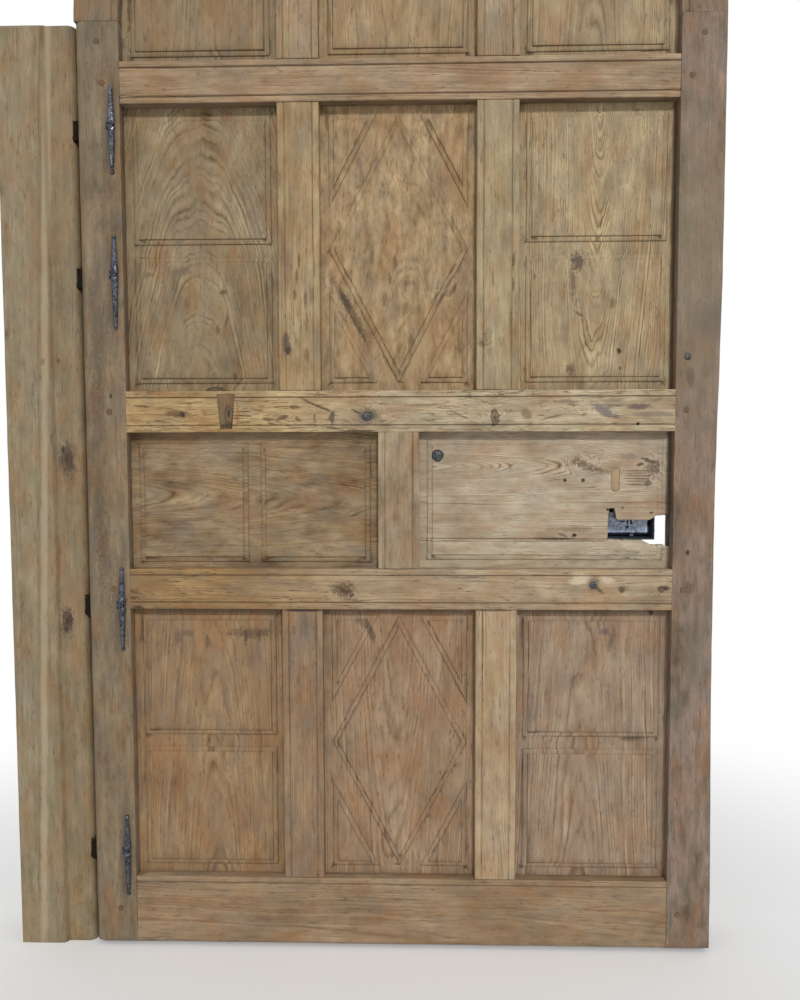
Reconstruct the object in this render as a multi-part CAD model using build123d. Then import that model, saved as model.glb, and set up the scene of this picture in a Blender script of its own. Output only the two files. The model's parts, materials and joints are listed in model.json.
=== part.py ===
"""Arched frame-and-panel door with its wooden frame, hung on forged pintles.

X runs to the right seen from outside, Y away from the viewer, Z up. Lengths are in millimetres.
Each piece is modelled with the leaf's centre line at X 0 and the leaf's outer face at Y 0,
and the whole door is moved at the end so that the centre of its base is the origin.
The leaf is shut. It turns on the left and comes towards the viewer as it opens.
"""

from build123d import *

import os
from math import cos, pi, sin, sqrt

os.makedirs("parts", exist_ok=True)

# Leaf
OPENING_SPAN = 866.0
STILE_WIDTH = 69.0
LEAF_THICK = 45.0
FLOOR_GAP = 8.0
BOTTOM_RAIL = 110.0
RAIL = 65.0
MUNTIN = 65.0
TALL_ROW = 444.0
LOCK_ROW = 218.5
SPRING_RISE = 60.5
STILE_ROUND = 13.0
HOLLOW_DEPTH = 5.5
HOLLOW_MIDDLE = 600.0
HOLLOW_REACH = 470.0

# Joinery
PANEL_SETBACK = 20.0
PANEL_THICK = 14.0
GROOVE_DEPTH = 10.0
PANEL_PLAY = 1.0
MUNTIN_TENON = 24.0
FOOT_TENON = 60.0
CROWN_TENON = 55.0
PEG_RADIUS = 4.5
HINGE_PEG_INSET = 27.0
LOCK_PEG_INSET = 17.0
REPAIR_PEG_INSETS = (17.0, 79.0)
PEG_PROUD = 0.4

# Panel fields and scratched lines
FIELD_MARGIN = 13.0
FIELD_BEVEL = 8.0
FIELD_STEP = 1.5
FIELD_SLOPE = 0.7
FIELD_RISE = 4.0
FIELD_STRIP = 36.0
LOCK_FIELD_DROP = 4.0
LOZENGE_BAND = 30.0
QUIRK_WIDTH = 3.0
QUIRK_DEPTH = 2.0
QUIRK_INSET = 10.5
STILE_QUIRK_INSET = 18.0

# Broken lock panel
BOARD_JOINT = 43.0
BREAK_REACH = 99.0
BREAK_RISE = 77.0
NOTCH_WIDTH = 13.0
NOTCH_RISE = 19.0
SPLINTER = 3.0
FLARE_REACH = 33.0
FLARE_RUN = 11.0
FLARE_RISE = 7.0
FLARE_DROP = 9.0

# Frame
SWING_GAP = 5.5
SHUT_GAP = 0.5
POST_FACE = 120.0
POST_PROUD = 4.0
POST_STEP = 8.0
POST_INNER = 49.0
POST_ARRIS = 5.0
POST_ROUND = 12.0
FRAME_DEPTH = 50.0
FRAME_WIDTH = 57.0
FRAME_REACH = 2.0
POST_END_CHAMFER = 6.0

# Hinges
BOTTOM_HINGE_RISE = 42.0
LOWER_HINGE_RISE = 6.0
UPPER_HINGE_RISE = 182.5
TOP_HINGE_DROP = 32.5
LEG_UP = 58.0
LEG_DOWN = 71.0
LEG_LONG = 83.0
AXIS_DEPTH = 16.0
PIN_RADIUS = 4.0
PIN_PLAY = 0.08
EYE_RADIUS = 7.0
EYE_HEIGHT = 16.0
NOTCH_PLAY = 0.8
COLLAR_HEIGHT = 10.0
SEAT_PLAY = 0.3
PIN_OVER = 5.0
SPIKE_LENGTH = 72.0
SPIKE_SIZE = 7.0
SPIKE_SET = 1.0
SHANK_THICK = 6.0
SHANK_HEIGHT = 12.0
SHANK_REACH = 59.0
LEG_ROOT = 11.0
LEG_TIP = 4.5
LEG_THICK = 5.0
LEG_SPREAD = 7.0
BOSS_RADIUS = 6.0

# Lock
CASE_SET = 20.0
CASE_WIDTH = 124.0
CASE_RISE = 1.0
CASE_HEIGHT = 98.0
CASE_DEPTH = 46.0
CASE_WALL = 2.5
CASE_LIP = 13.0
BOLT_HEIGHT = 12.0
BOLT_THICK = 9.0
BOLT_LENGTH = 118.0
BOLT_RISE = 13.0
BOLT_SET = 16.5
BOLT_NOSE = 7.0
BOLT_THROW = 48.0
BOLT_PLAY = 0.4
BOLT_TAB = 10.0
BOLT_PAST = 3.0
KEEPER_PLATE = 2.0
KEEPER_WIDTH = 26.0
KEEPER_HEIGHT = 70.0
KEYHOLE_RADIUS = 5.0
KEYHOLE_SLOT = 17.0
KEYHOLE_SET = 77.0
GUIDE_WALL = 3.0
GUIDE_SETS = (35.0, 107.0)
CASE_NAIL_MARGIN = 15.0
CASE_NAIL_PITCH = 70.0
CASE_NAIL_HOLD = 10.0

# Small things on the face
CLAVO_RADIUS = 10.3
CLAVO_RISE = 5.0
CLAVO_INSET = 29.5
CLAVO_DROP = 37.5
RIVET_RADIUS = 6.4
RIVET_RISE = 2.5
RIVET_INSET = 124.5
RIVET_DROP = 25.0
RAIL_NAIL_RADIUS = 8.0
RAIL_NAIL_RISE = 3.0
RAIL_NAIL_INSET = 50.0
RAIL_NAIL_HEIGHT = 24.5
STILE_NAIL_RADIUS = 5.6
STILE_NAIL_RISE = 2.5
STILE_NAIL_INSET = 18.0
STILE_NAIL_HEIGHT = 50.0
CASE_NAIL_RADIUS = 4.5
CASE_NAIL_RISE = 2.0
NAIL_SHANK = 4.2
HEAD_SHOULDER = 0.8
HEAD_CROWN = 0.35
PATCH_DEPTH = 5.0
PLUG_INSET = 150.0
PLUG_MARGIN = 5.0
PLUG_FOOT = 19.0
PLUG_FLARE = 5.0
PATCH_INSET = 88.0
PATCH_DROP = 76.5
PATCH_LENGTH = 37.0
PATCH_WIDTH = 13.0

# Levels and columns that follow from the sizes above
HALF_SPAN = OPENING_SPAN / 2
HALF_LEAF = HALF_SPAN + STILE_WIDTH
ROW_3 = FLOOR_GAP + BOTTOM_RAIL
LOWER_RAIL = ROW_3 + TALL_ROW
ROW_2 = LOWER_RAIL + RAIL
UPPER_RAIL = ROW_2 + LOCK_ROW
ROW_1 = UPPER_RAIL + RAIL
SPRING_RAIL = ROW_1 + TALL_ROW
HEAD_ROW = SPRING_RAIL + RAIL
SPRINGING = HEAD_ROW + SPRING_RISE
COLUMN = (OPENING_SPAN - 2 * MUNTIN) / 3
MUNTIN_X = (COLUMN + MUNTIN) / 2
PANEL_BACK = PANEL_SETBACK + PANEL_THICK
TONGUE = GROOVE_DEPTH - PANEL_PLAY
FRAME_FRONT = LEAF_THICK + SHUT_GAP
FRAME_BACK = FRAME_FRONT + FRAME_DEPTH
FRAME_OUTER = HALF_LEAF + FRAME_REACH
FRAME_INNER = FRAME_OUTER - FRAME_WIDTH
POST_RIGHT = -HALF_LEAF - SWING_GAP
POST_LEFT = POST_RIGHT - POST_FACE
POST_RECESS = POST_PROUD + POST_STEP
AXIS_X = -HALF_LEAF - SWING_GAP / 2
NOTCH_HALF = EYE_RADIUS + NOTCH_PLAY
BREAK_LEFT = HALF_SPAN - BREAK_REACH
BREAK_TOP = ROW_2 + BREAK_RISE
BREAK_FLARE = HALF_SPAN - FLARE_REACH
CASE_RIGHT = HALF_SPAN - CASE_SET
CASE_BOTTOM = ROW_2 + BOARD_JOINT + CASE_RISE
BOLT_CENTRE = CASE_BOTTOM + BOLT_RISE
BOLT_DEPTH = FRAME_FRONT + BOLT_SET
KEEPER_REACH = CASE_RIGHT + BOLT_NOSE + BOLT_THROW + BOLT_PAST - FRAME_INNER
COLUMNS = {"left": -COLUMN - MUNTIN, "middle": 0.0, "right": COLUMN + MUNTIN}
RAILS = {
    "bottom": (FLOOR_GAP, BOTTOM_RAIL),
    "lower": (LOWER_RAIL, RAIL),
    "upper": (UPPER_RAIL, RAIL),
    "spring": (SPRING_RAIL, RAIL),
}
HINGES = {
    "bottom": ROW_3 + BOTTOM_HINGE_RISE,
    "lower": LOWER_RAIL + LOWER_HINGE_RISE,
    "upper": ROW_1 + UPPER_HINGE_RISE,
    "top": SPRING_RAIL - TOP_HINGE_DROP,
}

built = {}


def block(x0, x1, y0, y1, z0, z1):
    """A rectangular block between two corners."""
    return Pos((x0 + x1) / 2, (y0 + y1) / 2, (z0 + z1) / 2) * Box(x1 - x0, y1 - y0, z1 - z0)


def at_depth(depth):
    """The front-view plane that lies a depth behind the leaf's outer face."""
    return Plane.XZ.offset(-depth)


def slab(outline, front, back):
    """A front-view outline made solid between two depths."""
    return extrude(at_depth(back) * outline, back - front)


def sheet(x0, x1, z0, z1):
    """A front-view rectangle."""
    return Pos((x0 + x1) / 2, (z0 + z1) / 2) * Rectangle(x1 - x0, z1 - z0)


def disc(radius):
    """A front-view disc about the centre of the arch."""
    return Pos(0, SPRINGING) * Circle(radius)


def quirk_section(middle):
    """The V of a scratched line, pointing into the wood, across the place of its point."""
    half, over = QUIRK_WIDTH, QUIRK_DEPTH
    return make_face(Polyline((middle - half, -over), (middle + half, -over), (middle, over), close=True))


def quirk_along_z(x, z0, z1):
    """The cut of a scratched line that runs upright."""
    return extrude(Pos(0, 0, z0) * quirk_section(x), z1 - z0, dir=(0, 0, 1))


def quirk_along_x(x0, x1, z):
    """The cut of a scratched line that runs level."""
    return Pos(0, 0, z) * Rot(0, 90, 0) * quirk_along_z(0, x0, x1)


def quirk_arc(radius):
    """The cut of a scratched line that follows the arch."""
    return Pos(0, 0, SPRINGING) * revolve(quirk_section(radius), Axis.Y, 360)


def tenon_band(x0, x1, z0, z1):
    """A tenon or its mortise, in the same plane as the panels' groove."""
    return block(x0, x1, PANEL_SETBACK, PANEL_BACK, z0, z1)


def rail(z0, height, upper_mortises, lower_mortises):
    """A rail with a through tenon at each end, grooved on the edges that hold panels."""
    z1 = z0 + height
    body = block(-HALF_SPAN, HALF_SPAN, 0, LEAF_THICK, z0, z1)
    grooves = []
    if upper_mortises is not None:
        grooves.append(tenon_band(-HALF_SPAN, HALF_SPAN, z1 - GROOVE_DEPTH, z1))
        body -= quirk_along_x(-HALF_SPAN, HALF_SPAN, z1 - QUIRK_INSET)
    if lower_mortises is not None:
        grooves.append(tenon_band(-HALF_SPAN, HALF_SPAN, z0, z0 + GROOVE_DEPTH))
        body -= quirk_along_x(-HALF_SPAN, HALF_SPAN, z0 + QUIRK_INSET)
    body -= grooves
    tenon_half = MUNTIN / 2 - GROOVE_DEPTH
    for x in upper_mortises or []:
        body -= tenon_band(x - tenon_half, x + tenon_half, z1 - MUNTIN_TENON, z1)
    for x in lower_mortises or []:
        body -= tenon_band(x - tenon_half, x + tenon_half, z0, z0 + MUNTIN_TENON)
    low, high = z0 + GROOVE_DEPTH, z1 - GROOVE_DEPTH
    body += tenon_band(-HALF_LEAF, -HALF_SPAN, low, high)
    body += tenon_band(HALF_SPAN, HALF_LEAF, low, high)
    return body


def muntin(x, z0, z1):
    """An upright between two rails, grooved on both edges, with a stub tenon at each end."""
    half = MUNTIN / 2
    body = block(x - half, x + half, 0, LEAF_THICK, z0, z1)
    body -= [quirk_along_z(x - half + QUIRK_INSET, z0, z1), quirk_along_z(x + half - QUIRK_INSET, z0, z1)]
    body -= tenon_band(x - half, x - half + GROOVE_DEPTH, z0, z1)
    body -= tenon_band(x + half - GROOVE_DEPTH, x + half, z0, z1)
    inner = half - GROOVE_DEPTH
    return body + tenon_band(x - inner, x + inner, z0 - MUNTIN_TENON, z1 + MUNTIN_TENON)


def head_muntin(x):
    """An upright of the arched row, whose top follows the inside of the arched rail."""
    body = muntin(x, HEAD_ROW, SPRINGING + HALF_SPAN)
    half = MUNTIN / 2
    shoulder = slab(disc(HALF_SPAN), 0, LEAF_THICK)
    foot = block(x - half, x + half, 0, LEAF_THICK, HEAD_ROW - MUNTIN_TENON, HEAD_ROW + SPRING_RISE)
    inner = half - GROOVE_DEPTH
    top_tenon = tenon_band(x - inner, x + inner, SPRINGING, SPRINGING + HALF_SPAN + MUNTIN_TENON)
    reach = slab(disc(HALF_SPAN + MUNTIN_TENON), 0, LEAF_THICK)
    return (body & (shoulder + foot)) + (top_tenon & reach)


def moulded_field(outline):
    """A raised field: a small step, a flat slope inwards and a second step up to the flat."""
    top = offset(outline, -FIELD_BEVEL, kind=Kind.INTERSECTION)
    foot = PANEL_SETBACK - FIELD_STEP
    crest = foot - FIELD_SLOPE
    slope = loft([(at_depth(foot) * outline).face(), (at_depth(crest) * top).face()], ruled=True)
    return slab(outline, foot, PANEL_SETBACK) + slope + slab(top, PANEL_SETBACK - FIELD_RISE, foot)


def polygon(*points):
    """A closed front-view outline with straight sides."""
    return make_face(Polyline(*points, close=True))


def stacked_fields(x, z0):
    """Two square fields, one over the other, of a tall side panel."""
    half = COLUMN / 2 - FIELD_MARGIN
    strip = FIELD_STRIP / 2 - FIELD_BEVEL
    middle = z0 + TALL_ROW / 2
    low = sheet(x - half, x + half, z0 + FIELD_MARGIN, middle - strip)
    high = sheet(x - half, x + half, middle + strip, z0 + TALL_ROW - FIELD_MARGIN)
    return [low, high]


def lozenge_fields(x, z0):
    """A tall lozenge with a triangle in each corner, of a tall middle panel."""
    half, tall = COLUMN / 2 - FIELD_MARGIN, TALL_ROW / 2 - FIELD_MARGIN
    middle = z0 + TALL_ROW / 2
    fields = [polygon((x - half, middle), (x, middle - tall), (x + half, middle), (x, middle + tall))]
    slant = sqrt(half * half + tall * tall)
    across, along = LOZENGE_BAND * slant / tall, LOZENGE_BAND * slant / half
    for side in (-1, 1):
        for way in (-1, 1):
            corner = (x + side * half, middle + way * tall)
            beside = (x + side * across, middle + way * tall)
            above = (x + side * half, middle + way * along)
            fields.append(polygon(corner, beside, above))
    return fields


def panel(tongues, fields):
    """A panel whose edge sits in the grooves round its opening, with raised fields."""
    board = slab(tongues, PANEL_SETBACK, PANEL_BACK)
    for field in fields:
        board += moulded_field(field)
    return board


def tall_panel(column, z0):
    """One of the three panels of a tall row."""
    x, half = COLUMNS[column], COLUMN / 2
    tongues = sheet(x - half - TONGUE, x + half + TONGUE, z0 - TONGUE, z0 + TALL_ROW + TONGUE)
    fields = lozenge_fields(x, z0) if column == "middle" else stacked_fields(x, z0)
    return panel(tongues, fields)


def head_panel(column):
    """One of the three panels under the arched rail."""
    x, half = COLUMNS[column], COLUMN / 2
    top = SPRINGING + HALF_SPAN
    outline = sheet(x - half, x + half, HEAD_ROW, top)
    outline &= disc(HALF_SPAN) + sheet(-HALF_SPAN, HALF_SPAN, HEAD_ROW, SPRINGING)
    wide = HALF_SPAN + TONGUE
    tongues = sheet(x - half - TONGUE, x + half + TONGUE, HEAD_ROW - TONGUE, top + TONGUE)
    tongues &= disc(wide) + sheet(-wide, wide, HEAD_ROW - TONGUE, SPRINGING)
    return panel(tongues, [offset(outline, -FIELD_MARGIN, kind=Kind.INTERSECTION)])


def left_lock_panel():
    """The left panel of the lock row, with two fields side by side."""
    x0, x1 = -HALF_SPAN, -MUNTIN / 2
    middle, strip = (x0 + x1) / 2, FIELD_STRIP / 2 - FIELD_BEVEL
    low, high = ROW_2 + FIELD_MARGIN - LOCK_FIELD_DROP, ROW_2 + LOCK_ROW - FIELD_MARGIN - LOCK_FIELD_DROP
    fields = [
        sheet(x0 + FIELD_MARGIN, middle - strip, low, high),
        sheet(middle + strip, x1 - FIELD_MARGIN, low, high),
    ]
    tongues = sheet(x0 - TONGUE, x1 + TONGUE, ROW_2 - TONGUE, UPPER_RAIL + TONGUE)
    return panel(tongues, fields)


def broken_opening():
    """The outline of the wood broken out of the lock panel, up to the lock stile."""
    joint = ROW_2 + BOARD_JOINT
    notch = BREAK_LEFT + NOTCH_WIDTH
    edge = HALF_SPAN + GROOVE_DEPTH
    return polygon(
        (BREAK_LEFT, joint),
        (BREAK_LEFT, BREAK_TOP),
        (BREAK_LEFT + SPLINTER, BREAK_TOP + NOTCH_RISE),
        (notch - SPLINTER, BREAK_TOP + NOTCH_RISE),
        (notch, BREAK_TOP + SPLINTER),
        (notch + SPLINTER, BREAK_TOP),
        (BREAK_FLARE, BREAK_TOP),
        (BREAK_FLARE + FLARE_RUN, BREAK_TOP + FLARE_RISE),
        (edge, BREAK_TOP + FLARE_RISE + SPLINTER),
        (edge, joint - FLARE_DROP),
        (BREAK_FLARE + FLARE_RUN / 2, joint - FLARE_DROP),
        (BREAK_FLARE - FLARE_RUN, joint - SPLINTER / 3),
    )


def right_lock_boards():
    """The right panel of the lock row: two boards edge to edge, broken out beside the lock."""
    x0, x1 = MUNTIN / 2, HALF_SPAN
    field = sheet(x0 + FIELD_MARGIN, x1 - FIELD_MARGIN, ROW_2 + FIELD_MARGIN, UPPER_RAIL - FIELD_MARGIN)
    tongues = sheet(x0 - TONGUE, x1 + TONGUE, ROW_2 - TONGUE, UPPER_RAIL + TONGUE)
    whole = panel(tongues, [field]) - slab(broken_opening(), PANEL_SETBACK - 2 * FIELD_RISE, LEAF_THICK)
    joint = ROW_2 + BOARD_JOINT
    lower = whole & block(0, HALF_LEAF, 0, LEAF_THICK, ROW_2 - TONGUE, joint)
    upper = whole & block(0, HALF_LEAF, 0, LEAF_THICK, joint, UPPER_RAIL + TONGUE)
    return lower, upper


def shank_solid(hinge):
    """The hinge eye's flat shank, from the eye slantwise through the stile to its outer face."""
    z = HINGES[hinge]
    start = (AXIS_X, AXIS_DEPTH)
    end = (-HALF_LEAF + SHANK_REACH, 0)
    run = (end[0] - start[0], end[1] - start[1])
    length = sqrt(run[0] ** 2 + run[1] ** 2)
    plane = Plane((*start, z), x_dir=(run[0], run[1], 0), z_dir=(0, 0, 1))
    return plane * block(0, length, -SHANK_THICK / 2, SHANK_THICK / 2, -SHANK_HEIGHT / 2, SHANK_HEIGHT / 2)


def axis_cylinder(radius, z0, z1):
    """An upright cylinder about the hinge line."""
    return Pos(AXIS_X, AXIS_DEPTH, (z0 + z1) / 2) * Cylinder(radius, z1 - z0)


def axis_prism(z0, z1):
    """An upright forged prism of twelve flats about the hinge line, as wide as the eye."""
    outline = Plane.XY.offset(z0) * Pos(AXIS_X, AXIS_DEPTH) * RegularPolygon(EYE_RADIUS, 12)
    return extrude(outline, z1 - z0, dir=(0, 0, 1))


def hinge_notch(hinge):
    """The room chiselled out of the post and the stile for the eye and the pintle's collar."""
    z = HINGES[hinge]
    low = z - EYE_HEIGHT / 2 - SEAT_PLAY - COLLAR_HEIGHT - NOTCH_PLAY
    high = z + EYE_HEIGHT / 2 + PIN_OVER + NOTCH_PLAY
    left, right = AXIS_X - NOTCH_HALF, AXIS_X + NOTCH_HALF
    return block(left, right, AXIS_DEPTH - NOTCH_HALF, AXIS_DEPTH + NOTCH_HALF, low, high)


def faceted(rings):
    """A solid with flat sides between rings of points, closed by the first ring and the last."""
    faces = [Face(Wire.make_polygon(rings[0])), Face(Wire.make_polygon(rings[-1]))]
    for low, high in zip(rings, rings[1:]):
        for i in range(len(low)):
            faces.append(Face(Wire.make_polygon([low[i - 1], low[i], high[i], high[i - 1]])))
    return Solid(Shell(faces))


def flat_ring(x, y, z, radius, count):
    """Points round a circle in a plane that faces the viewer."""
    angles = [2 * pi * (i + 0.5) / count for i in range(count)]
    return [(x + radius * cos(a), y, z + radius * sin(a)) for a in angles]


def forged_head(x, z, seat, radius, rise, way):
    """A hammered head on its seat: eight flats that close in to a small crown, towards the
    viewer where way is -1.
    """
    tiers = [(1.0, 0.0), (HEAD_SHOULDER, HEAD_SHOULDER), (HEAD_CROWN, 1.0)]
    return faceted([flat_ring(x, seat + way * up * rise, z, radius * size, 8) for size, up in tiers])


def clinched_leg(x, z, length, way):
    """One leg of the shank, bent over on the stile's face and drawn out to a point."""
    root, tip = LEG_ROOT / 2, LEG_TIP / 2
    near, far = z + way * LEG_SPREAD / 4, z + way * length
    outline = polygon((x - root, near), (x + root, near), (x + tip, far), (x - tip, far))
    leg = slab(outline, -LEG_THICK, 0)
    front = leg.edges().filter_by(Plane.XZ).group_by(Axis.Y)[0]
    leg = chamfer(front, LEG_THICK / 3)
    boss = forged_head(x, z + way * LEG_SPREAD, 0, BOSS_RADIUS, BOSS_RADIUS, -1)
    ball = forged_head(x, far, 0, LEG_TIP * 0.75, LEG_TIP * 0.75, -1)
    return leg + boss + ball


def hinge_eye(hinge):
    """A forged eye on the pintle with its shank and the two clinched legs."""
    z = HINGES[hinge]
    low, high = z - EYE_HEIGHT / 2, z + EYE_HEIGHT / 2
    x = -HALF_LEAF + SHANK_REACH
    eye = axis_prism(low, high)
    face = block(x - SHANK_REACH, x + SHANK_REACH, -LEG_THICK, LEAF_THICK, low, high)
    eye += shank_solid(hinge) & (face + eye)
    eye += clinched_leg(x - LEG_ROOT / 4, z, LEG_UP, 1)
    eye += clinched_leg(x - LEG_ROOT / 4, z, LEG_LONG if hinge == "upper" else LEG_DOWN, -1)
    return eye - axis_cylinder(PIN_RADIUS + PIN_PLAY, low - 1, high + 1)


def pintle_spike(hinge):
    """The pintle's tapered spike, driven level into the post."""
    z = HINGES[hinge] - EYE_HEIGHT / 2 - SEAT_PLAY - COLLAR_HEIGHT / 2
    rings = []
    for x, half in ((AXIS_X, SPIKE_SIZE / 2), (AXIS_X - SPIKE_LENGTH, SPIKE_SIZE / 6)):
        corners = ((-half, -half), (half, -half), (half, half), (-half, half))
        rings.append([(x, AXIS_DEPTH + SPIKE_SET + across, z + up) for across, up in corners])
    return faceted(rings)


def pintle(hinge):
    """The pintle that the eye turns on: spike, collar and upright pin."""
    seat = HINGES[hinge] - EYE_HEIGHT / 2 - SEAT_PLAY
    top = HINGES[hinge] + EYE_HEIGHT / 2 + PIN_OVER
    collar = axis_prism(seat - COLLAR_HEIGHT, seat)
    pin = axis_cylinder(PIN_RADIUS, seat - COLLAR_HEIGHT, top)
    return collar + pin + pintle_spike(hinge)


def stile(side):
    """An upright of the leaf: side -1 carries the hinges, side 1 the lock."""
    inner, outer = side * HALF_SPAN, side * HALF_LEAF
    low, high = min(inner, outer), max(inner, outer)
    body = block(low, high, 0, LEAF_THICK, FLOOR_GAP, SPRINGING)
    if side < 0:
        arris = body.edges().filter_by(Axis.Z).sort_by_distance((low, 0, SPRINGING / 2))[0]
        body = fillet(arris, STILE_ROUND)
    else:
        radius = (HOLLOW_REACH**2 + HOLLOW_DEPTH**2) / (2 * HOLLOW_DEPTH)
        body -= slab(Pos(outer - HOLLOW_DEPTH + radius, HOLLOW_MIDDLE) * Circle(radius), -1, LEAF_THICK + 1)
    body -= quirk_along_z(inner + side * STILE_QUIRK_INSET, FLOOR_GAP, SPRINGING)
    groove = sorted((inner, inner + side * GROOVE_DEPTH))
    body -= tenon_band(*groove, ROW_3 - GROOVE_DEPTH, SPRINGING)
    for z0, height in RAILS.values():
        body -= tenon_band(low, high, z0 + GROOVE_DEPTH, z0 + height - GROOVE_DEPTH)
    edge = sorted((inner + side * GROOVE_DEPTH, outer - side * GROOVE_DEPTH))
    return body - tenon_band(*edge, SPRINGING - FOOT_TENON, SPRINGING)


def ring_half(outer, inner, front, back, side):
    """Half of an arch ring, from its foot to the crown."""
    ring = slab(disc(outer) - disc(inner), front, back)
    low, high = sorted((0, side * outer))
    return ring & block(low, high, front, back, SPRINGING, SPRINGING + outer)


def crown_tongue(outer, inner, front, back, shoulder, reach):
    """The tenon that the left half of a ring puts into the right half at the crown."""
    ring = slab(disc(outer - shoulder) - disc(inner + shoulder), front, back)
    return ring & block(0, reach, front, back, SPRINGING, SPRINGING + outer)


def head_rail(side):
    """Half of the leaf's arched rail, tenoned into the stile below and joined at the crown."""
    body = ring_half(HALF_LEAF, HALF_SPAN, 0, LEAF_THICK, side)
    body -= quirk_arc(HALF_SPAN + QUIRK_INSET)
    body -= slab(disc(HALF_SPAN + GROOVE_DEPTH), PANEL_SETBACK, PANEL_BACK)
    body -= head_muntin(side * MUNTIN_X)
    foot = sorted((side * (HALF_SPAN + GROOVE_DEPTH), side * (HALF_LEAF - GROOVE_DEPTH)))
    body += tenon_band(*foot, SPRINGING - FOOT_TENON, SPRINGING + 1)
    tongue = crown_tongue(HALF_LEAF, HALF_SPAN, PANEL_SETBACK, PANEL_BACK, GROOVE_DEPTH, CROWN_TENON)
    return body + tongue if side < 0 else body - tongue


def hinge_post():
    """The post beside the leaf: a stepped face with a rounded arris, and the stop behind the stile."""
    step = POST_RIGHT - POST_INNER
    section = polygon(
        (POST_LEFT, POST_PROUD), (step, POST_PROUD), (step + POST_ARRIS, POST_RECESS),
        (POST_RIGHT, POST_RECESS), (POST_RIGHT, FRAME_FRONT), (-FRAME_INNER, FRAME_FRONT),
        (-FRAME_INNER, FRAME_BACK), (POST_LEFT, FRAME_BACK),
    )
    ridge = section.vertices().sort_by_distance((step, POST_PROUD, 0))[0]
    section = fillet(ridge, POST_ARRIS)
    inner = section.vertices().sort_by_distance((POST_RIGHT, POST_RECESS, 0))[0]
    section = fillet(inner, POST_ROUND)
    body = extrude(section, SPRINGING, dir=(0, 0, 1))
    body -= post_end_bevel()
    body -= frame_tenon(-1)
    for hinge in HINGES:
        body -= [hinge_notch(hinge), pintle_spike(hinge)]
    return body


def frame_tenon(side, over=0.0):
    """The tenon at an arch's foot, or its mortise in the post."""
    band = FRAME_DEPTH / 3
    low, high = sorted((side * (FRAME_INNER + band), side * (FRAME_OUTER - band)))
    front, back = FRAME_FRONT + band, FRAME_BACK - band
    return block(low, high, front, back, SPRINGING - FOOT_TENON, SPRINGING + over)


def post_end_bevel():
    """The wedge that is planed off the front of the hinge post's upper end."""
    size = POST_END_CHAMFER
    side = Plane((POST_LEFT - 1, POST_PROUD, SPRINGING), x_dir=(0, 1, 0), z_dir=(1, 0, 0))
    wedge = side * make_face(Polyline((-1, -size - 1), (size + 1, 1), (-1, 1), close=True))
    return extrude(wedge, POST_FACE + 2, dir=(1, 0, 0))


def lock_post():
    """The post behind the lock stile, with the bolt's mortise in its inner face."""
    body = block(FRAME_INNER, FRAME_OUTER, FRAME_FRONT, FRAME_BACK, 0, SPRINGING)
    body -= frame_tenon(1)
    body -= keeper_blank()
    return body - bolt_room(FRAME_INNER, KEEPER_REACH)


def bolt_room(start, length):
    """The space that the bolt's end needs, from a start along its way."""
    play = 2 * BOLT_PLAY
    half_y, half_z = BOLT_THICK / 2 + play, BOLT_HEIGHT / 2 + play
    return block(
        start - 1, start + length, BOLT_DEPTH - half_y, BOLT_DEPTH + half_y,
        BOLT_CENTRE - half_z, BOLT_CENTRE + half_z,
    )


def keeper_blank():
    """The plate let into the lock post, before it is pierced."""
    wide, tall = KEEPER_WIDTH / 2, KEEPER_HEIGHT / 2
    return block(
        FRAME_INNER, FRAME_INNER + KEEPER_PLATE, BOLT_DEPTH - wide, BOLT_DEPTH + wide,
        BOLT_CENTRE - tall, BOLT_CENTRE + tall,
    )


def frame_arch(side):
    """Half of the frame's arch, tenoned into its post and joined to the other half at the crown."""
    body = ring_half(FRAME_OUTER, FRAME_INNER, FRAME_FRONT, FRAME_BACK, side)
    band = FRAME_DEPTH / 3
    body += frame_tenon(side, over=1.0)
    front, back = FRAME_FRONT + band, FRAME_BACK - band
    tongue = crown_tongue(FRAME_OUTER, FRAME_INNER, front, back, band, CROWN_TENON)
    return body + tongue if side < 0 else body - tongue


def lock_case():
    """The iron tray nailed to the back of the lock panel, open towards the wood."""
    x0, x1 = CASE_RIGHT - CASE_WIDTH, CASE_RIGHT
    z0, z1 = CASE_BOTTOM, CASE_BOTTOM + CASE_HEIGHT
    back, wall = PANEL_BACK + CASE_DEPTH, CASE_WALL
    tray = block(x0, x1, PANEL_BACK, back, z0, z1)
    tray -= block(x0 + wall, x1 - wall, PANEL_BACK, back - wall, z0 + wall, z1 - wall)
    tray += block(x0 - CASE_LIP, x0 + wall, PANEL_BACK, PANEL_BACK + wall, z0, z1)
    tray += block(x0, x1, PANEL_BACK, PANEL_BACK + wall, z1 - wall, z1 + CASE_LIP)
    tray -= bolt_room(CASE_RIGHT - 2 * wall, 3 * wall)
    key_x, key_z = CASE_RIGHT - KEYHOLE_SET, BOLT_CENTRE + BOLT_HEIGHT / 2 + KEYHOLE_SLOT
    half = KEYHOLE_RADIUS / 2
    keyhole = Pos(key_x, key_z) * RegularPolygon(KEYHOLE_RADIUS, 12)
    keyhole += sheet(key_x - half, key_x + half, key_z - KEYHOLE_SLOT, key_z)
    tray -= slab(keyhole, back - 2 * wall, back + 1)
    for setback in GUIDE_SETS:
        tray += bolt_guide(CASE_RIGHT - setback)
    return tray


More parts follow.
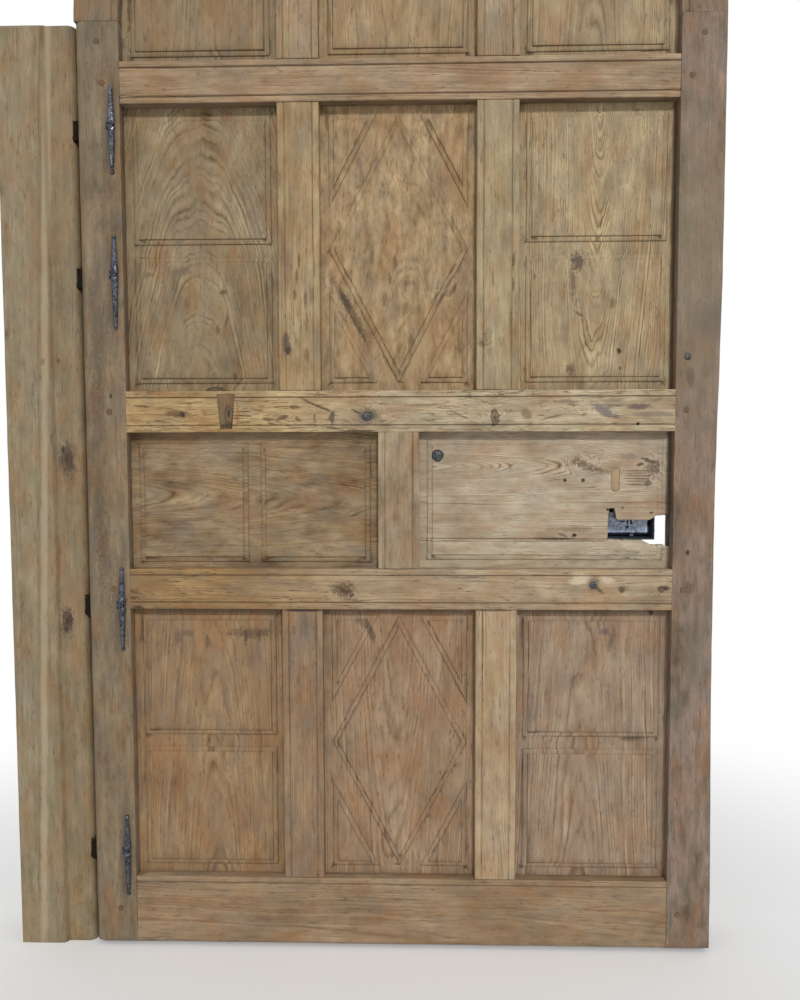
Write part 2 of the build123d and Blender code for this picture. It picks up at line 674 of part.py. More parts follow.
def bolt_guide(x):
    """A staple on the case's back plate that holds the bolt to its line."""
    room_y, room_z = BOLT_THICK / 2 + BOLT_PLAY, BOLT_HEIGHT / 2 + BOLT_PLAY
    front, back = BOLT_DEPTH - room_y, PANEL_BACK + CASE_DEPTH - CASE_WALL
    low, high, end = BOLT_CENTRE - room_z, BOLT_CENTRE + room_z, x + 2 * GUIDE_WALL
    outer = block(x, end, front - GUIDE_WALL, back, low - GUIDE_WALL, high + GUIDE_WALL)
    return outer - block(x - 1, end + 1, front, BOLT_DEPTH + room_y, low, high)


def lock_bolt():
    """The sliding bolt with its pointed nose and the notched tab that the key catches."""
    tip = CASE_RIGHT + BOLT_NOSE
    half_z, half_y = BOLT_HEIGHT / 2, BOLT_THICK / 2
    start = tip - BOLT_LENGTH
    outline = polygon(
        (start, BOLT_CENTRE - half_z),
        (tip - BOLT_NOSE, BOLT_CENTRE - half_z),
        (tip, BOLT_CENTRE - half_z / 3),
        (tip, BOLT_CENTRE + half_z / 3),
        (tip - BOLT_NOSE, BOLT_CENTRE + half_z),
        (start, BOLT_CENTRE + half_z),
    )
    bolt = slab(outline, BOLT_DEPTH - half_y, BOLT_DEPTH + half_y)
    tab_x = start + 2 * BOLT_TAB
    tab = block(
        tab_x, tab_x + BOLT_TAB / 2, BOLT_DEPTH - half_y, BOLT_DEPTH,
        BOLT_CENTRE + half_z, BOLT_CENTRE + half_z + BOLT_TAB,
    )
    return bolt + tab


def nail_shank(x, z, front, back):
    """A nail's square shank between two depths, or the hole that it makes."""
    half = NAIL_SHANK / 2
    return slab(sheet(x - half, x + half, z - half, z + half), front, back)


FIELD_FACE = PANEL_SETBACK - FIELD_RISE
FACE_NAILS = {
    "clavo": (MUNTIN / 2 + CLAVO_INSET, UPPER_RAIL - CLAVO_DROP, FIELD_FACE, CLAVO_RADIUS, CLAVO_RISE),
    "rivet": (HALF_SPAN - RIVET_INSET, ROW_2 - RIVET_DROP, 0.0, RIVET_RADIUS, RIVET_RISE),
    "rail_nail": (-RAIL_NAIL_INSET, UPPER_RAIL + RAIL_NAIL_HEIGHT, 0.0, RAIL_NAIL_RADIUS, RAIL_NAIL_RISE),
    "stile_nail": (
        HALF_SPAN + STILE_NAIL_INSET, ROW_1 + STILE_NAIL_HEIGHT, 0.0, STILE_NAIL_RADIUS, STILE_NAIL_RISE,
    ),
}
NAIL_HOSTS = {
    "clavo": "lock_board_upper",
    "rivet": "lower_rail",
    "rail_nail": "upper_rail",
    "stile_nail": "lock_stile",
}


def face_nail(name):
    """A nail of the outer face, its shank as long as the wood under it is thick."""
    x, z, seat, radius, rise = FACE_NAILS[name]
    wood = PANEL_BACK if seat > 0 else LEAF_THICK
    return forged_head(x, z, seat, radius, rise, -1) + nail_shank(x, z, seat, wood)


def rail_patch():
    """The wedge-shaped plug let into the upper rail."""
    low, high = UPPER_RAIL + PLUG_MARGIN, ROW_1 - PLUG_MARGIN
    left = -HALF_SPAN + PLUG_INSET
    right = left + PLUG_FOOT
    outline = polygon((left, low), (right, low), (right + PLUG_FLARE, high), (left - PLUG_FLARE, high))
    return slab(outline, 0, PATCH_DEPTH)


def panel_patch():
    """The slim patch with cut corners, let into the lock panel's upper board."""
    half = PATCH_WIDTH / 2
    middle = HALF_SPAN - PATCH_INSET
    outline = sheet(middle - half, middle + half, 0, PATCH_LENGTH)
    outline = chamfer(outline.vertices(), half / 2)
    outline = Pos(0, UPPER_RAIL - PATCH_DROP - PATCH_LENGTH / 2) * outline
    return slab(outline, FIELD_FACE, FIELD_FACE + PATCH_DEPTH)


def case_nail_places():
    """The four nails that hold the lock case by its lips."""
    beside = CASE_RIGHT - CASE_WIDTH - CASE_LIP / 2
    over = CASE_BOTTOM + CASE_HEIGHT + CASE_LIP / 2
    low, high = CASE_BOTTOM + CASE_NAIL_MARGIN, CASE_BOTTOM + CASE_HEIGHT - CASE_NAIL_MARGIN
    right = CASE_RIGHT - CASE_NAIL_MARGIN
    return [(beside, low), (beside, high), (right, over), (right - CASE_NAIL_PITCH, over)]


def case_nail(x, z):
    """One nail of the lock case, driven from the back."""
    seat = PANEL_BACK + CASE_WALL
    head = forged_head(x, z, seat, CASE_NAIL_RADIUS, CASE_NAIL_RISE, 1)
    return head + nail_shank(x, z, seat - CASE_NAIL_HOLD, seat)


def peg_places():
    """The pegs through the tenons of the rails and of the arched rail, and two of a repair."""
    levels = [z0 + height / 2 for z0, height in RAILS.values()]
    places = [(-HALF_SPAN - HINGE_PEG_INSET, z) for z in levels]
    places += [(HALF_SPAN + LOCK_PEG_INSET, z) for z in levels]
    places += [(HALF_SPAN - inset, LOWER_RAIL + RAIL / 2) for inset in REPAIR_PEG_INSETS]
    middle = HALF_SPAN + STILE_WIDTH / 2
    low = SPRINGING - FOOT_TENON / 2
    return places + [(-middle, low), (middle, low), (CROWN_TENON / 2, SPRINGING + middle)]


def frame_peg_places():
    """The pegs through the frame's joints."""
    middle = (FRAME_INNER + FRAME_OUTER) / 2
    low = SPRINGING - FOOT_TENON / 2
    return [(-middle, low), (middle, low), (CROWN_TENON / 2, SPRINGING + middle)]


def peg(place, front, back):
    """A whittled peg of eight flats, or the hole that it fills."""
    return slab(Pos(*place) * RegularPolygon(PEG_RADIUS, 8), front, back)


def keep(name, shape):
    """Notes a finished piece under its node's name."""
    built[name] = shape


def without(name, cuts):
    """Cuts the given solids out of a piece that is already noted."""
    built[name] = built[name] - cuts


def build_leaf():
    """Makes every wooden piece of the leaf."""
    keep("hinge_stile", stile(-1))
    keep("lock_stile", stile(1))
    pair, single = [-MUNTIN_X, MUNTIN_X], [0.0]
    keep("bottom_rail", rail(*RAILS["bottom"], pair, None))
    keep("lower_rail", rail(*RAILS["lower"], single, pair))
    keep("upper_rail", rail(*RAILS["upper"], pair, single))
    keep("spring_rail", rail(*RAILS["spring"], pair, pair))
    keep("head_rail_left", head_rail(-1))
    keep("head_rail_right", head_rail(1))
    keep("lock_muntin", muntin(0, ROW_2, UPPER_RAIL))
    for word, side in (("left", -1), ("right", 1)):
        keep(f"lower_muntin_{word}", muntin(side * MUNTIN_X, ROW_3, LOWER_RAIL))
        keep(f"upper_muntin_{word}", muntin(side * MUNTIN_X, ROW_1, SPRING_RAIL))
        keep(f"head_muntin_{word}", head_muntin(side * MUNTIN_X))
    for column in COLUMNS:
        keep(f"lower_panel_{column}", tall_panel(column, ROW_3))
        keep(f"upper_panel_{column}", tall_panel(column, ROW_1))
        keep(f"head_panel_{column}", head_panel(column))
    keep("lock_panel_left", left_lock_panel())
    lower, upper = right_lock_boards()
    keep("lock_board_lower", lower)
    keep("lock_board_upper", upper)


def build_frame():
    """Makes the two posts, the arch and the pintles."""
    keep("hinge_post", hinge_post())
    keep("lock_post", lock_post())
    keep("frame_arch_left", frame_arch(-1))
    keep("frame_arch_right", frame_arch(1))
    for hinge in HINGES:
        keep(f"pintle_{hinge}", pintle(hinge))
    keep("keeper_plate", keeper_blank() - bolt_room(FRAME_INNER, KEEPER_REACH))


def build_ironwork():
    """Makes the hinge eyes, the lock and the nails, and their seats in the wood."""
    for hinge in HINGES:
        keep(f"hinge_eye_{hinge}", hinge_eye(hinge))
        for host in ("hinge_stile", "lower_rail", "spring_rail"):
            without(host, [hinge_notch(hinge), shank_solid(hinge)])
    keep("lock_case", lock_case())
    keep("lock_bolt", lock_bolt())
    nails = [case_nail(*place) for place in case_nail_places()]
    without("lock_case", nails)
    without("lock_board_upper", nails)
    keep("case_nails", Compound(children=nails))
    for name, host in NAIL_HOSTS.items():
        x, z = FACE_NAILS[name][:2]
        without(host, nail_shank(x, z, -1, LEAF_THICK + 1))
        keep(name, face_nail(name))


def build_patches():
    """Makes the two let-in patches and their beds."""
    for name, host, patch in (
        ("rail_patch", "upper_rail", rail_patch()), ("panel_patch", "lock_board_upper", panel_patch()),
    ):
        without(host, patch)
        keep(name, patch)


def build_pegs():
    """Makes the pegs and bores their holes through each piece that they pass."""
    pegs = [peg(place, -PEG_PROUD, LEAF_THICK) for place in peg_places()]
    bores = [peg(place, 0, LEAF_THICK) for place in peg_places()]
    pegged = ("hinge_stile", "lock_stile", "bottom_rail", "lower_rail", "upper_rail", "spring_rail")
    for name in (*pegged, "head_rail_left", "head_rail_right"):
        without(name, bores)
    keep("leaf_pegs", Compound(children=pegs))
    frame_pegs = [peg(place, FRAME_FRONT, FRAME_BACK) for place in frame_peg_places()]
    for name in ("hinge_post", "lock_post", "frame_arch_left", "frame_arch_right"):
        without(name, frame_pegs)
    keep("frame_pegs", Compound(children=frame_pegs))


def write_parts():
    """Moves every piece so that the centre of the door's base is the origin, and writes it."""
    bounds = [shape.bounding_box() for shape in built.values()]
    move_x = -(min(b.min.X for b in bounds) + max(b.max.X for b in bounds)) / 2
    move_y = -(min(b.min.Y for b in bounds) + max(b.max.Y for b in bounds)) / 2
    for name, shape in built.items():
        export_step(Pos(move_x, move_y, 0) * shape, f"parts/{name}.step")
    print(f"moved by {move_x:.3f} {move_y:.3f}, hinge line {AXIS_X + move_x:.3f} {AXIS_DEPTH + move_y:.3f}")


build_leaf()
build_frame()
build_ironwork()
build_patches()
build_pegs()
write_parts()
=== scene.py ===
"""An arched pine door in its wooden frame: worn bare wood, forged hinges and a broken-out lock panel.

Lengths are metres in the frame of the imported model. Places on the leaf are given in
millimetres from its centre line, the floor and its outer face, and turned by spot().
"""

import json
import logging
import math
from dataclasses import dataclass
from enum import Enum

import bmesh
import bpy
from mathutils import Euler, Matrix, Vector, noise


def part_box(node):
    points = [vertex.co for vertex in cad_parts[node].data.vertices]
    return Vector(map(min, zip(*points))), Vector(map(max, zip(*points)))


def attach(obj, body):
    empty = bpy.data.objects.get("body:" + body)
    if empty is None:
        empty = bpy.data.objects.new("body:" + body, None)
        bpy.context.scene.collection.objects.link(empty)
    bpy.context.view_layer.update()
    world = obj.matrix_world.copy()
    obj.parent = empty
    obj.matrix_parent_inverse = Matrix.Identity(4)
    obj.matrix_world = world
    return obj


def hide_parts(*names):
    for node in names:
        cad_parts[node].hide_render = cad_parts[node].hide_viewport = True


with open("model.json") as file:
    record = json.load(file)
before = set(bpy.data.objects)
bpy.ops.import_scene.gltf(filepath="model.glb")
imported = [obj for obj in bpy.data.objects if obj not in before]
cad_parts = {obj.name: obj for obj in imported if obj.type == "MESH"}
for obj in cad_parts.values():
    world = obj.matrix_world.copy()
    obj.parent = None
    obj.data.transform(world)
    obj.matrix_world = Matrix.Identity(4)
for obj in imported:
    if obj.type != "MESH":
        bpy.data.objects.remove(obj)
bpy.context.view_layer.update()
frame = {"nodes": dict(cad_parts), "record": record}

LOG = logging.getLogger("door")
MM = 0.001
X, Z = 0, 2
WELD, SLIVER = 0.01 * MM, 0.001 * MM
FLAT = math.radians(0.6)
SLOTS = {part["node"]: part["material_slot"] for part in frame["record"]["subparts"]}
BODIES = {node: body for body, nodes in frame["record"]["behaviour"]["bodies"].items() for node in nodes}
Socket = bpy.types.NodeSocket


def leaf_origin() -> Vector:
    """The leaf's centre line on its outer face, at floor level."""
    low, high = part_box("lock_muntin")
    return Vector(((low.x + high.x) / 2, low.y, 0.0))


ORIGIN = leaf_origin()


def spot(x: float, z: float, depth: float = 0.0) -> Vector:
    """Turns a place on the leaf into the frame's metres.

    Args:
        x: millimetres to the right of the leaf's centre line.
        z: millimetres over the floor.
        depth: millimetres behind the leaf's outer face.

    Returns:
        The place in metres.
    """
    return ORIGIN + Vector((x, depth, z)) * MM


def linear(colour: str) -> tuple[float, float, float, float]:
    """Turns an sRGB hex colour into linear light.

    Args:
        colour: six hex digits after a hash.

    Returns:
        Red, green, blue and an alpha of one.
    """
    parts = [int(colour[i : i + 2], 16) / 255 for i in (1, 3, 5)]
    light = [c / 12.92 if c <= 0.04045 else ((c + 0.055) / 1.055) ** 2.4 for c in parts]
    return (*light, 1.0)


def add(
    tree: bpy.types.NodeTree, kind: str, inputs: dict | tuple = (), output: str | int = 0, **settings: str | bool
) -> Socket | None:
    """Adds a shader node with its settings and links.

    Args:
        tree: the node tree.
        kind: the node's type name, without its Shader prefix.
        inputs: each input's value or the output that feeds it, by name or number, or in order.
        output: the name or number of the output that is wanted.
        settings: the node's own options.

    Returns:
        The output, or None from a node that has none.
    """
    node = tree.nodes.new("ShaderNode" + kind)
    for option, value in settings.items():
        setattr(node, option, value)
    for name, value in inputs.items() if isinstance(inputs, dict) else enumerate(inputs):
        if isinstance(value, Socket):
            tree.links.new(value, node.inputs[name])
        else:
            node.inputs[name].default_value = value
    return node.outputs[output] if node.outputs else None


def new_material(name: str) -> tuple[bpy.types.Material, bpy.types.NodeTree]:
    """Makes a material with an empty node tree.

    Args:
        name: the material's name.

    Returns:
        The material and its tree.
    """
    material = bpy.data.materials.new(name)
    material.use_nodes = True
    material.node_tree.nodes.clear()
    return material, material.node_tree


class Grain(Enum):
    """Which way a board's fibres run."""

    UPRIGHT = "upright"
    LEVEL = "level"


@dataclass(frozen=True)
class Knot:
    """A knot that shows on a board's face, in leaf millimetres."""

    x: float
    z: float
    wide: float
    tall: float
    depth: float = 0.75


@dataclass(frozen=True)
class Mark:
    """A stain, scuff, crack, worm hole, painted shade or painted highlight on a board's face, in leaf millimetres
    and degrees.
    """

    x: float
    z: float
    wide: float
    tall: float
    shade: str = "#2a2019"
    share: float = 0.8
    tilt: float = 0.0
    soft: float = 0.8
    ragged: float = 0.5


@dataclass(frozen=True)
class Streaks:
    """Noise drawn out along the fibres: its width and length in millimetres, and how fine it gets."""

    across: float
    along: float
    detail: float = 3.0
    rough: float = 0.6


@dataclass(frozen=True)
class Coat:
    """A colour that lies on the wood in streaks, from where their noise passes start to where it is full."""

    colour: str
    streaks: Streaks
    start: float
    full: float


@dataclass(frozen=True)
class Pine:
    """Old bare pine, planed by hand and rubbed by use.

    That gives the eye a matt, slightly furry face: pale early wood, browner late wood, short
    dark pores along the fibres, and grey and amber patches where weather and hands reached it.
    The rings are cylinders about the tree's heart line, so a board cut through them shows
    nested arches where the line leans and even stripes where it lies far off.

    Sizes are millimetres and angles are degrees. The heart is a place on the heart line, given
    as right, behind and up. The names from contrast to the side shade say how strongly each thing shows,
    blot and curl are sizes, and a board with a far pair of colours drifts to it between two places.
    The side shade is a painted shade on faces turned aside, beside the mouldings.
    """

    dark: str
    light: str
    grain: Grain = Grain.UPRIGHT
    heart: tuple[float, float, float] = (0.0, 60.0, 900.0)
    lean: tuple[float, float] = (1.5, 1.0)
    ring: float = 3.2
    contrast: float = 0.75
    streak: float = 0.5
    patch: float = 0.8
    mottle: float = 0.5
    blot: tuple[float, float] = (14.0, 40.0)
    grey: float = 0.4
    warm: float = 0.3
    fleck: float = 0.6
    crack: float = 0.5
    fuzz: float = 0.35
    # How strongly faces turned aside take a painted shade.
    side_shade: float = 0.0
    curl: float = 4.5
    knots: tuple[Knot, ...] = ()
    marks: tuple[Mark, ...] = ()
    seed: float = 0.0
    far: tuple[str, str] | None = None
    drift: tuple[float, float] = (-300.0, 50.0)

    def material(self, name: str) -> bpy.types.Material:
        """Builds the finish.

        Args:
            name: the piece that wears it.

        Returns:
            The material.
        """
        made, tree = new_material("pine_" + name)
        PineNodes(self, tree).build()
        return made


class PineNodes:
    """The node tree of one cut of pine, with its patterns in real sizes.

    Noise stays near a half, so a share that is taken from it starts and ends close to that.
    """

    # How a board's seed moves its patterns, so that no two boards look alike.
    APART = (1.0, 0.7, 0.4)
    SWAY = Streaks(110.0, 460.0, 2.0, 0.55)
    SWAY_REACH = 26.0
    RIPPLE = Streaks(18.0, 80.0)
    # Real fibres are finer than the render shows, so they are drawn about 2 mm wide.
    FIBRE = Streaks(1.8, 45.0, rough=0.65)
    PATCHES = Streaks(60.0, 110.0, 4.0)
    BANDS = Streaks(8.0, 190.0)
    RING_FADE = Streaks(34.0, 130.0, 2.0, 0.55)
    SPLITS = Streaks(7.0, 240.0)
    GREYED = Coat("#6e675e", Streaks(26.0, 70.0), 0.46, 0.72)
    AMBER = Coat("#94602f", Streaks(38.0, 75.0), 0.46, 0.68)
    PORES = Coat("#4a3a2c", Streaks(5.0, 20.0, rough=0.7), 0.58, 0.74)
    # The second colour is a painted shade, laid on faces turned down or aside.
    SPLIT, DIRT, KNOT_BROWN, KNOT_BLACK = "#2e241b", "#3b2e22", "#57463a", "#2c221c"
    # How the tone falls over one year's ring: pale early wood, then dark late wood.
    YEAR = ((0.0, 0.6), (0.25, 0.95), (0.5, 1.0), (0.75, 0.45), (0.9, 0.05), (1.0, 0.6))
    YEAR_MEAN = 0.66
    # Rings widen and narrow by up to half of UNEVEN over a span of SLOW, in millimetres.
    SLOW, UNEVEN = 11.0, 9.0
    # Marks crumble at their edges, in crumbs of so many millimetres and by so much of their raggedness.
    CRUMB, TEAR = 5.0, 4.0
    # Noise is faint, so bands and blots are raised. Pores sink into a relief of so many millimetres.
    BAND_GAIN, BLOT_GAIN = 1.8, 2.4
    PORE_DEPTH, RELIEF, STRENGTH = -0.6, 0.7, 0.6
    # Parts of a knot, as distances from its middle with its edge at one: where the rings bend,
    # its brown body, its dark rim and half that rim's width, its pith, and its splits.
    BEND, BODY, RIM, RIM_HALF, PITH, SPLIT_END = (5.5, 0.6), (1.0, 0.75), 0.92, 0.26, (0.4, 0.1), (1.8, 1.2)
    SWELL, BODY_SHARE = 0.6, 0.8
    # Where the noise round a knot makes a ray, and how far the body reaches off and on it; then its splits.
    RAY, RAY_REACH, RAY_SPLIT = (0.5, 0.72), (0.95, 1.9), (0.56, 0.66)
    # Where the noise passes from weak to strong, for single rings and along a board, and how strong each gets.
    WEAK_TO_STRONG, EACH_RING, ALONG_BOARD = (0.36, 0.62), (0.1, 1.25), (0.12, 1.1)
    # A crack is a hair of its noise wide, and lies where the patches are raised.
    HAIR, CRACKED = (0.002, 0.016), (0.5, 0.6)
    # How far a face has to turn down, or aside, to take the painted shade.
    DOWN, ASIDE, UNDER_DIRT = (-0.12, -0.5), (0.12, 0.6), 0.5
    # Low fibres are rubbed a little smoother than high ones.
    RUBBED_FIBRE, ROUGH = (0.3, 0.7), (0.58, 0.78)

    def __init__(self, pine: Pine, tree: bpy.types.NodeTree) -> None:
        """Sets up the coordinates: the board's own, and the tree's with its heart line as Z.

        Args:
            pine: the cut of pine.
            tree: the material's empty tree.
        """
        self.pine = pine
        self.tree = tree
        self.place = add(tree, "TexCoord", output="Object")
        self.normal = add(tree, "TexCoord", output="Normal")
        side, fore = (math.radians(angle) for angle in pine.lean)
        turn = Euler((0.0, math.pi / 2 + side, fore) if pine.grain is Grain.LEVEL else (side, fore, 0.0))
        x, depth, z = pine.heart
        heart = {"Vector": self.place, "Location": spot(x, z, depth), "Rotation": turn}
        self.trunk = add(tree, "Mapping", heart, vector_type="TEXTURE")
        apart = tuple(pine.seed * part for part in self.APART)
        self.seeded = add(tree, "VectorMath", (self.trunk, apart), operation="ADD")
        self.ripple = self.swing(self.drawn(self.RIPPLE, "Color"), pine.curl)
        self.fibre = self.drawn(self.FIBRE)
        self.patches = self.drawn(self.PATCHES)
        self.rubbed = add(tree, "VectorMath", (self.place, self.ripple), operation="ADD")

    def drawn(self, streaks: Streaks, output: str = "Fac") -> Socket:
        """Draws noise out along the fibres.

        Args:
            streaks: its sizes.
            output: Fac or Color.

        Returns:
            The noise.
        """
        squeezed = (1.0, 1.0, streaks.across / streaks.along)
        along = add(self.tree, "VectorMath", (self.seeded, squeezed), operation="MULTIPLY")
        scale = 1.0 / (streaks.across * MM)
        inputs = {"Vector": along, "Scale": scale, "Detail": streaks.detail, "Roughness": streaks.rough}
        return add(self.tree, "TexNoise", inputs, output)

    def share(self, coat: Coat, most: float) -> Socket:
        """How much of a coat lies at each point, up to the most."""
        return add(self.tree, "MapRange", (self.drawn(coat.streaks), coat.start, coat.full, 0.0, most))

    def swing(self, source: Socket, reach: float) -> Socket:
        """Turns a noise colour into a sideways shift.

        Args:
            source: the noise's colour.
            reach: the shift from end to end, in millimetres.

        Returns:
            The shift.
        """
        centred = add(self.tree, "VectorMath", (source, (0.5, 0.5, 0.5)), operation="SUBTRACT")
        return add(self.tree, "VectorMath", (centred, (reach * MM, reach * MM, 0.0)), operation="MULTIPLY")

    def about(self, shape: Knot | Mark, tilt: float = 0.0) -> tuple[Socket, Socket]:
        """Measures from the middle of a knot or a mark.

        Args:
            shape: the knot or mark.
            tilt: how far it is turned, in degrees.

        Returns:
            The coordinates about its middle, and their length, which is one at the edge of its oval.
        """
        oval = {
            "Vector": self.rubbed, "Location": spot(shape.x, shape.z), "Rotation": (0.0, math.radians(tilt), 0.0),
            "Scale": (shape.wide * MM / 2, 1.0, shape.tall * MM / 2),
        }
        near = add(self.tree, "Mapping", oval, vector_type="TEXTURE")
        return near, add(self.tree, "VectorMath", (near,), "Value", operation="LENGTH")

    def knotted(self, radius: Socket) -> tuple[Socket, Socket | float, Socket | float]:
        """Bends the rings round the knots, and finds each knot's body, rays, rim, pith and splits.

        Args:
            radius: the distance from the heart line.

        Returns:
            The bent radius, and how brown and how black the knots make each point.
        """
        tree, brown, black = self.tree, 0.0, 0.0
        for knot in self.pine.knots:
            near, away = self.about(knot)
            bend = (away, *self.BEND, 0.0, knot.wide * MM * self.SWELL)
            swell = add(tree, "MapRange", bend, interpolation_type="SMOOTHERSTEP")
            radius = add(tree, "Math", (radius, swell), operation="ADD")
            ray = add(tree, "VectorMath", (near,), operation="NORMALIZE")
            rays = add(tree, "TexNoise", {"Vector": ray, "Scale": 3.2, "Detail": 3.0, "Roughness": 0.6}, "Fac")
            reach = add(tree, "MapRange", (rays, *self.RAY, *self.RAY_REACH))
            body = add(tree, "Math", (away, reach), operation="DIVIDE")
            body = add(tree, "MapRange", (body, *self.BODY, 0.0, knot.depth * self.BODY_SHARE))
            brown = add(tree, "Math", (brown, body), operation="MAXIMUM")
            rim = add(tree, "Math", (away, self.RIM), operation="SUBTRACT")
            rim = add(tree, "Math", (rim,), operation="ABSOLUTE")
            rim = add(tree, "MapRange", (rim, self.RIM_HALF, 0.0, 0.0, knot.depth))
            pith = add(tree, "MapRange", (away, *self.PITH, 0.0, knot.depth))
            split = add(tree, "MapRange", (rays, *self.RAY_SPLIT, 0.0, knot.depth))
            split = add(tree, "Math", (split, add(tree, "MapRange", (away, *self.SPLIT_END))), operation="MULTIPLY")
            for dark in (rim, pith, split):
                black = add(tree, "Math", (black, dark), operation="MAXIMUM")
        return radius, brown, black

    def radius(self) -> Socket:
        """Measures from the heart line, which sways and ripples as a trunk does.

        Returns:
            The distance from the heart line, in metres.
        """
        bent = self.trunk
        for shift in (self.swing(self.drawn(self.SWAY, "Color"), self.SWAY_REACH), self.ripple):
            bent = add(self.tree, "VectorMath", (bent, shift), operation="ADD")
        flat = add(self.tree, "VectorMath", (bent, (1.0, 1.0, 0.0)), operation="MULTIPLY")
        return add(self.tree, "VectorMath", (flat,), "Value", operation="LENGTH")

    def rings(self, radius: Socket) -> Socket:
        """Draws early and late wood, uneven in width and strength.

        Args:
            radius: the distance from the heart line.

        Returns:
            The tone, about zero.
        """
        tree = self.tree
        slow = add(tree, "Math", (radius, 1.0 / (self.SLOW * MM)), operation="MULTIPLY")
        slow = {"W": slow, "Scale": 1.0, "Detail": 2.0, "Roughness": 0.6}
        slow = add(tree, "TexNoise", slow, "Fac", noise_dimensions="1D")
        slow = add(tree, "Math", (slow, 0.5), operation="SUBTRACT")
        uneven = add(tree, "Math", (slow, self.UNEVEN * MM, radius), operation="MULTIPLY_ADD")
        years = add(tree, "Math", (uneven, 1.0 / (self.pine.ring * MM)), operation="MULTIPLY")
        tone = add(tree, "ValToRGB", (add(tree, "Math", (years,), operation="FRACT"),), "Color")
        stops = tone.node.color_ramp.elements
        while len(stops) < len(self.YEAR):
            stops.new(0.5)
        for stop, (place, level) in zip(stops, self.YEAR):
            stop.position = place
            stop.color = (level, level, level, 1.0)
        tone = add(tree, "Math", (tone, self.YEAR_MEAN), operation="SUBTRACT")
        each = add(tree, "TexNoise", {"W": years, "Scale": 0.55, "Detail": 1.0}, "Fac", noise_dimensions="1D")
        each = add(tree, "MapRange", (each, *self.WEAK_TO_STRONG, *self.EACH_RING))
        fade = (self.drawn(self.RING_FADE), *self.WEAK_TO_STRONG, *self.ALONG_BOARD)
        fade = add(tree, "MapRange", fade)
        for strength in (each, fade):
            tone = add(tree, "Math", (tone, strength), operation="MULTIPLY")
        return tone

    def cracks(self) -> Socket:
        """Draws fine drying cracks along the fibres, where the noise crosses a half.

        Returns:
            How dark they make each point.
        """
        line = add(self.tree, "Math", (self.drawn(self.SPLITS), 0.5), operation="SUBTRACT")
        line = add(self.tree, "Math", (line,), operation="ABSOLUTE")
        line = add(self.tree, "MapRange", (line, *self.HAIR, 1.0, 0.0))
        where = add(self.tree, "MapRange", (self.patches, *self.CRACKED, 0.0, self.pine.crack))
        return add(self.tree, "Math", (line, where), operation="MULTIPLY")

    def marked(self) -> list[tuple[str, Socket]]:
        """Lays out the marks, with crumbled edges.

        Returns:
            Each mark's colour and its share at each point.
        """
        tree, laid = self.tree, []
        crumbs = {"Vector": self.place, "Scale": 1.0 / (self.CRUMB * MM), "Detail": 4.0, "Roughness": 0.7}
        crumbs = add(tree, "Math", (add(tree, "TexNoise", crumbs, "Fac"), 0.5), operation="SUBTRACT")
        for mark in self.pine.marks:
            away = self.about(mark, mark.tilt)[1]
            torn = add(tree, "Math", (crumbs, mark.ragged * self.TEAR, away), operation="MULTIPLY_ADD")
            edge = (torn, 1 + mark.soft / 2, 1 - mark.soft / 2, 0.0, mark.share)
            laid.append((mark.shade, add(tree, "MapRange", edge, interpolation_type="SMOOTHSTEP")))
        return laid

    def painted_shade(self) -> list[tuple[str, Socket]]:
        """Paints shade on faces turned down under the mouldings, and on faces turned aside beside them on some
        boards.

        Returns:
            The painted shade's colour and its share at each point.
        """
        tree = self.tree
        under = add(tree, "SeparateXYZ", (self.normal,), "Z")
        laid = [(self.DIRT, add(tree, "MapRange", (under, *self.DOWN, 0.0, self.UNDER_DIRT)))]
        if self.pine.side_shade:
            side = add(tree, "SeparateXYZ", (self.normal,), "X")
            side = add(tree, "Math", (side,), operation="ABSOLUTE")
            laid.append((self.DIRT, add(tree, "MapRange", (side, *self.ASIDE, 0.0, self.pine.side_shade))))
        return laid

    def board_colour(self, tone: Socket) -> Socket:
        """Mixes dark and light wood by tone, and drifts to the far pair where the board has one.

        Args:
            tone: the tone, nought for dark and one for light.

        Returns:
            The bare wood's colour.
        """
        pine, tree = self.pine, self.tree
        pairs = [(pine.dark, pine.light), pine.far] if pine.far else [(pine.dark, pine.light)]
        shades = [
            add(tree, "Mix", {0: tone, 6: linear(dark), 7: linear(light)}, 2, data_type="RGBA", clamp_factor=False)
            for dark, light in pairs
        ]
        if not pine.far:
            return shades[0]
        start, end = (spot(x, 0.0).x for x in pine.drift)
        across = add(tree, "SeparateXYZ", (self.place,), "X")
        side = add(tree, "MapRange", (across, start, end), interpolation_type="SMOOTHSTEP")
        return add(tree, "Mix", {0: side, 6: shades[0], 7: shades[1]}, 2, data_type="RGBA")

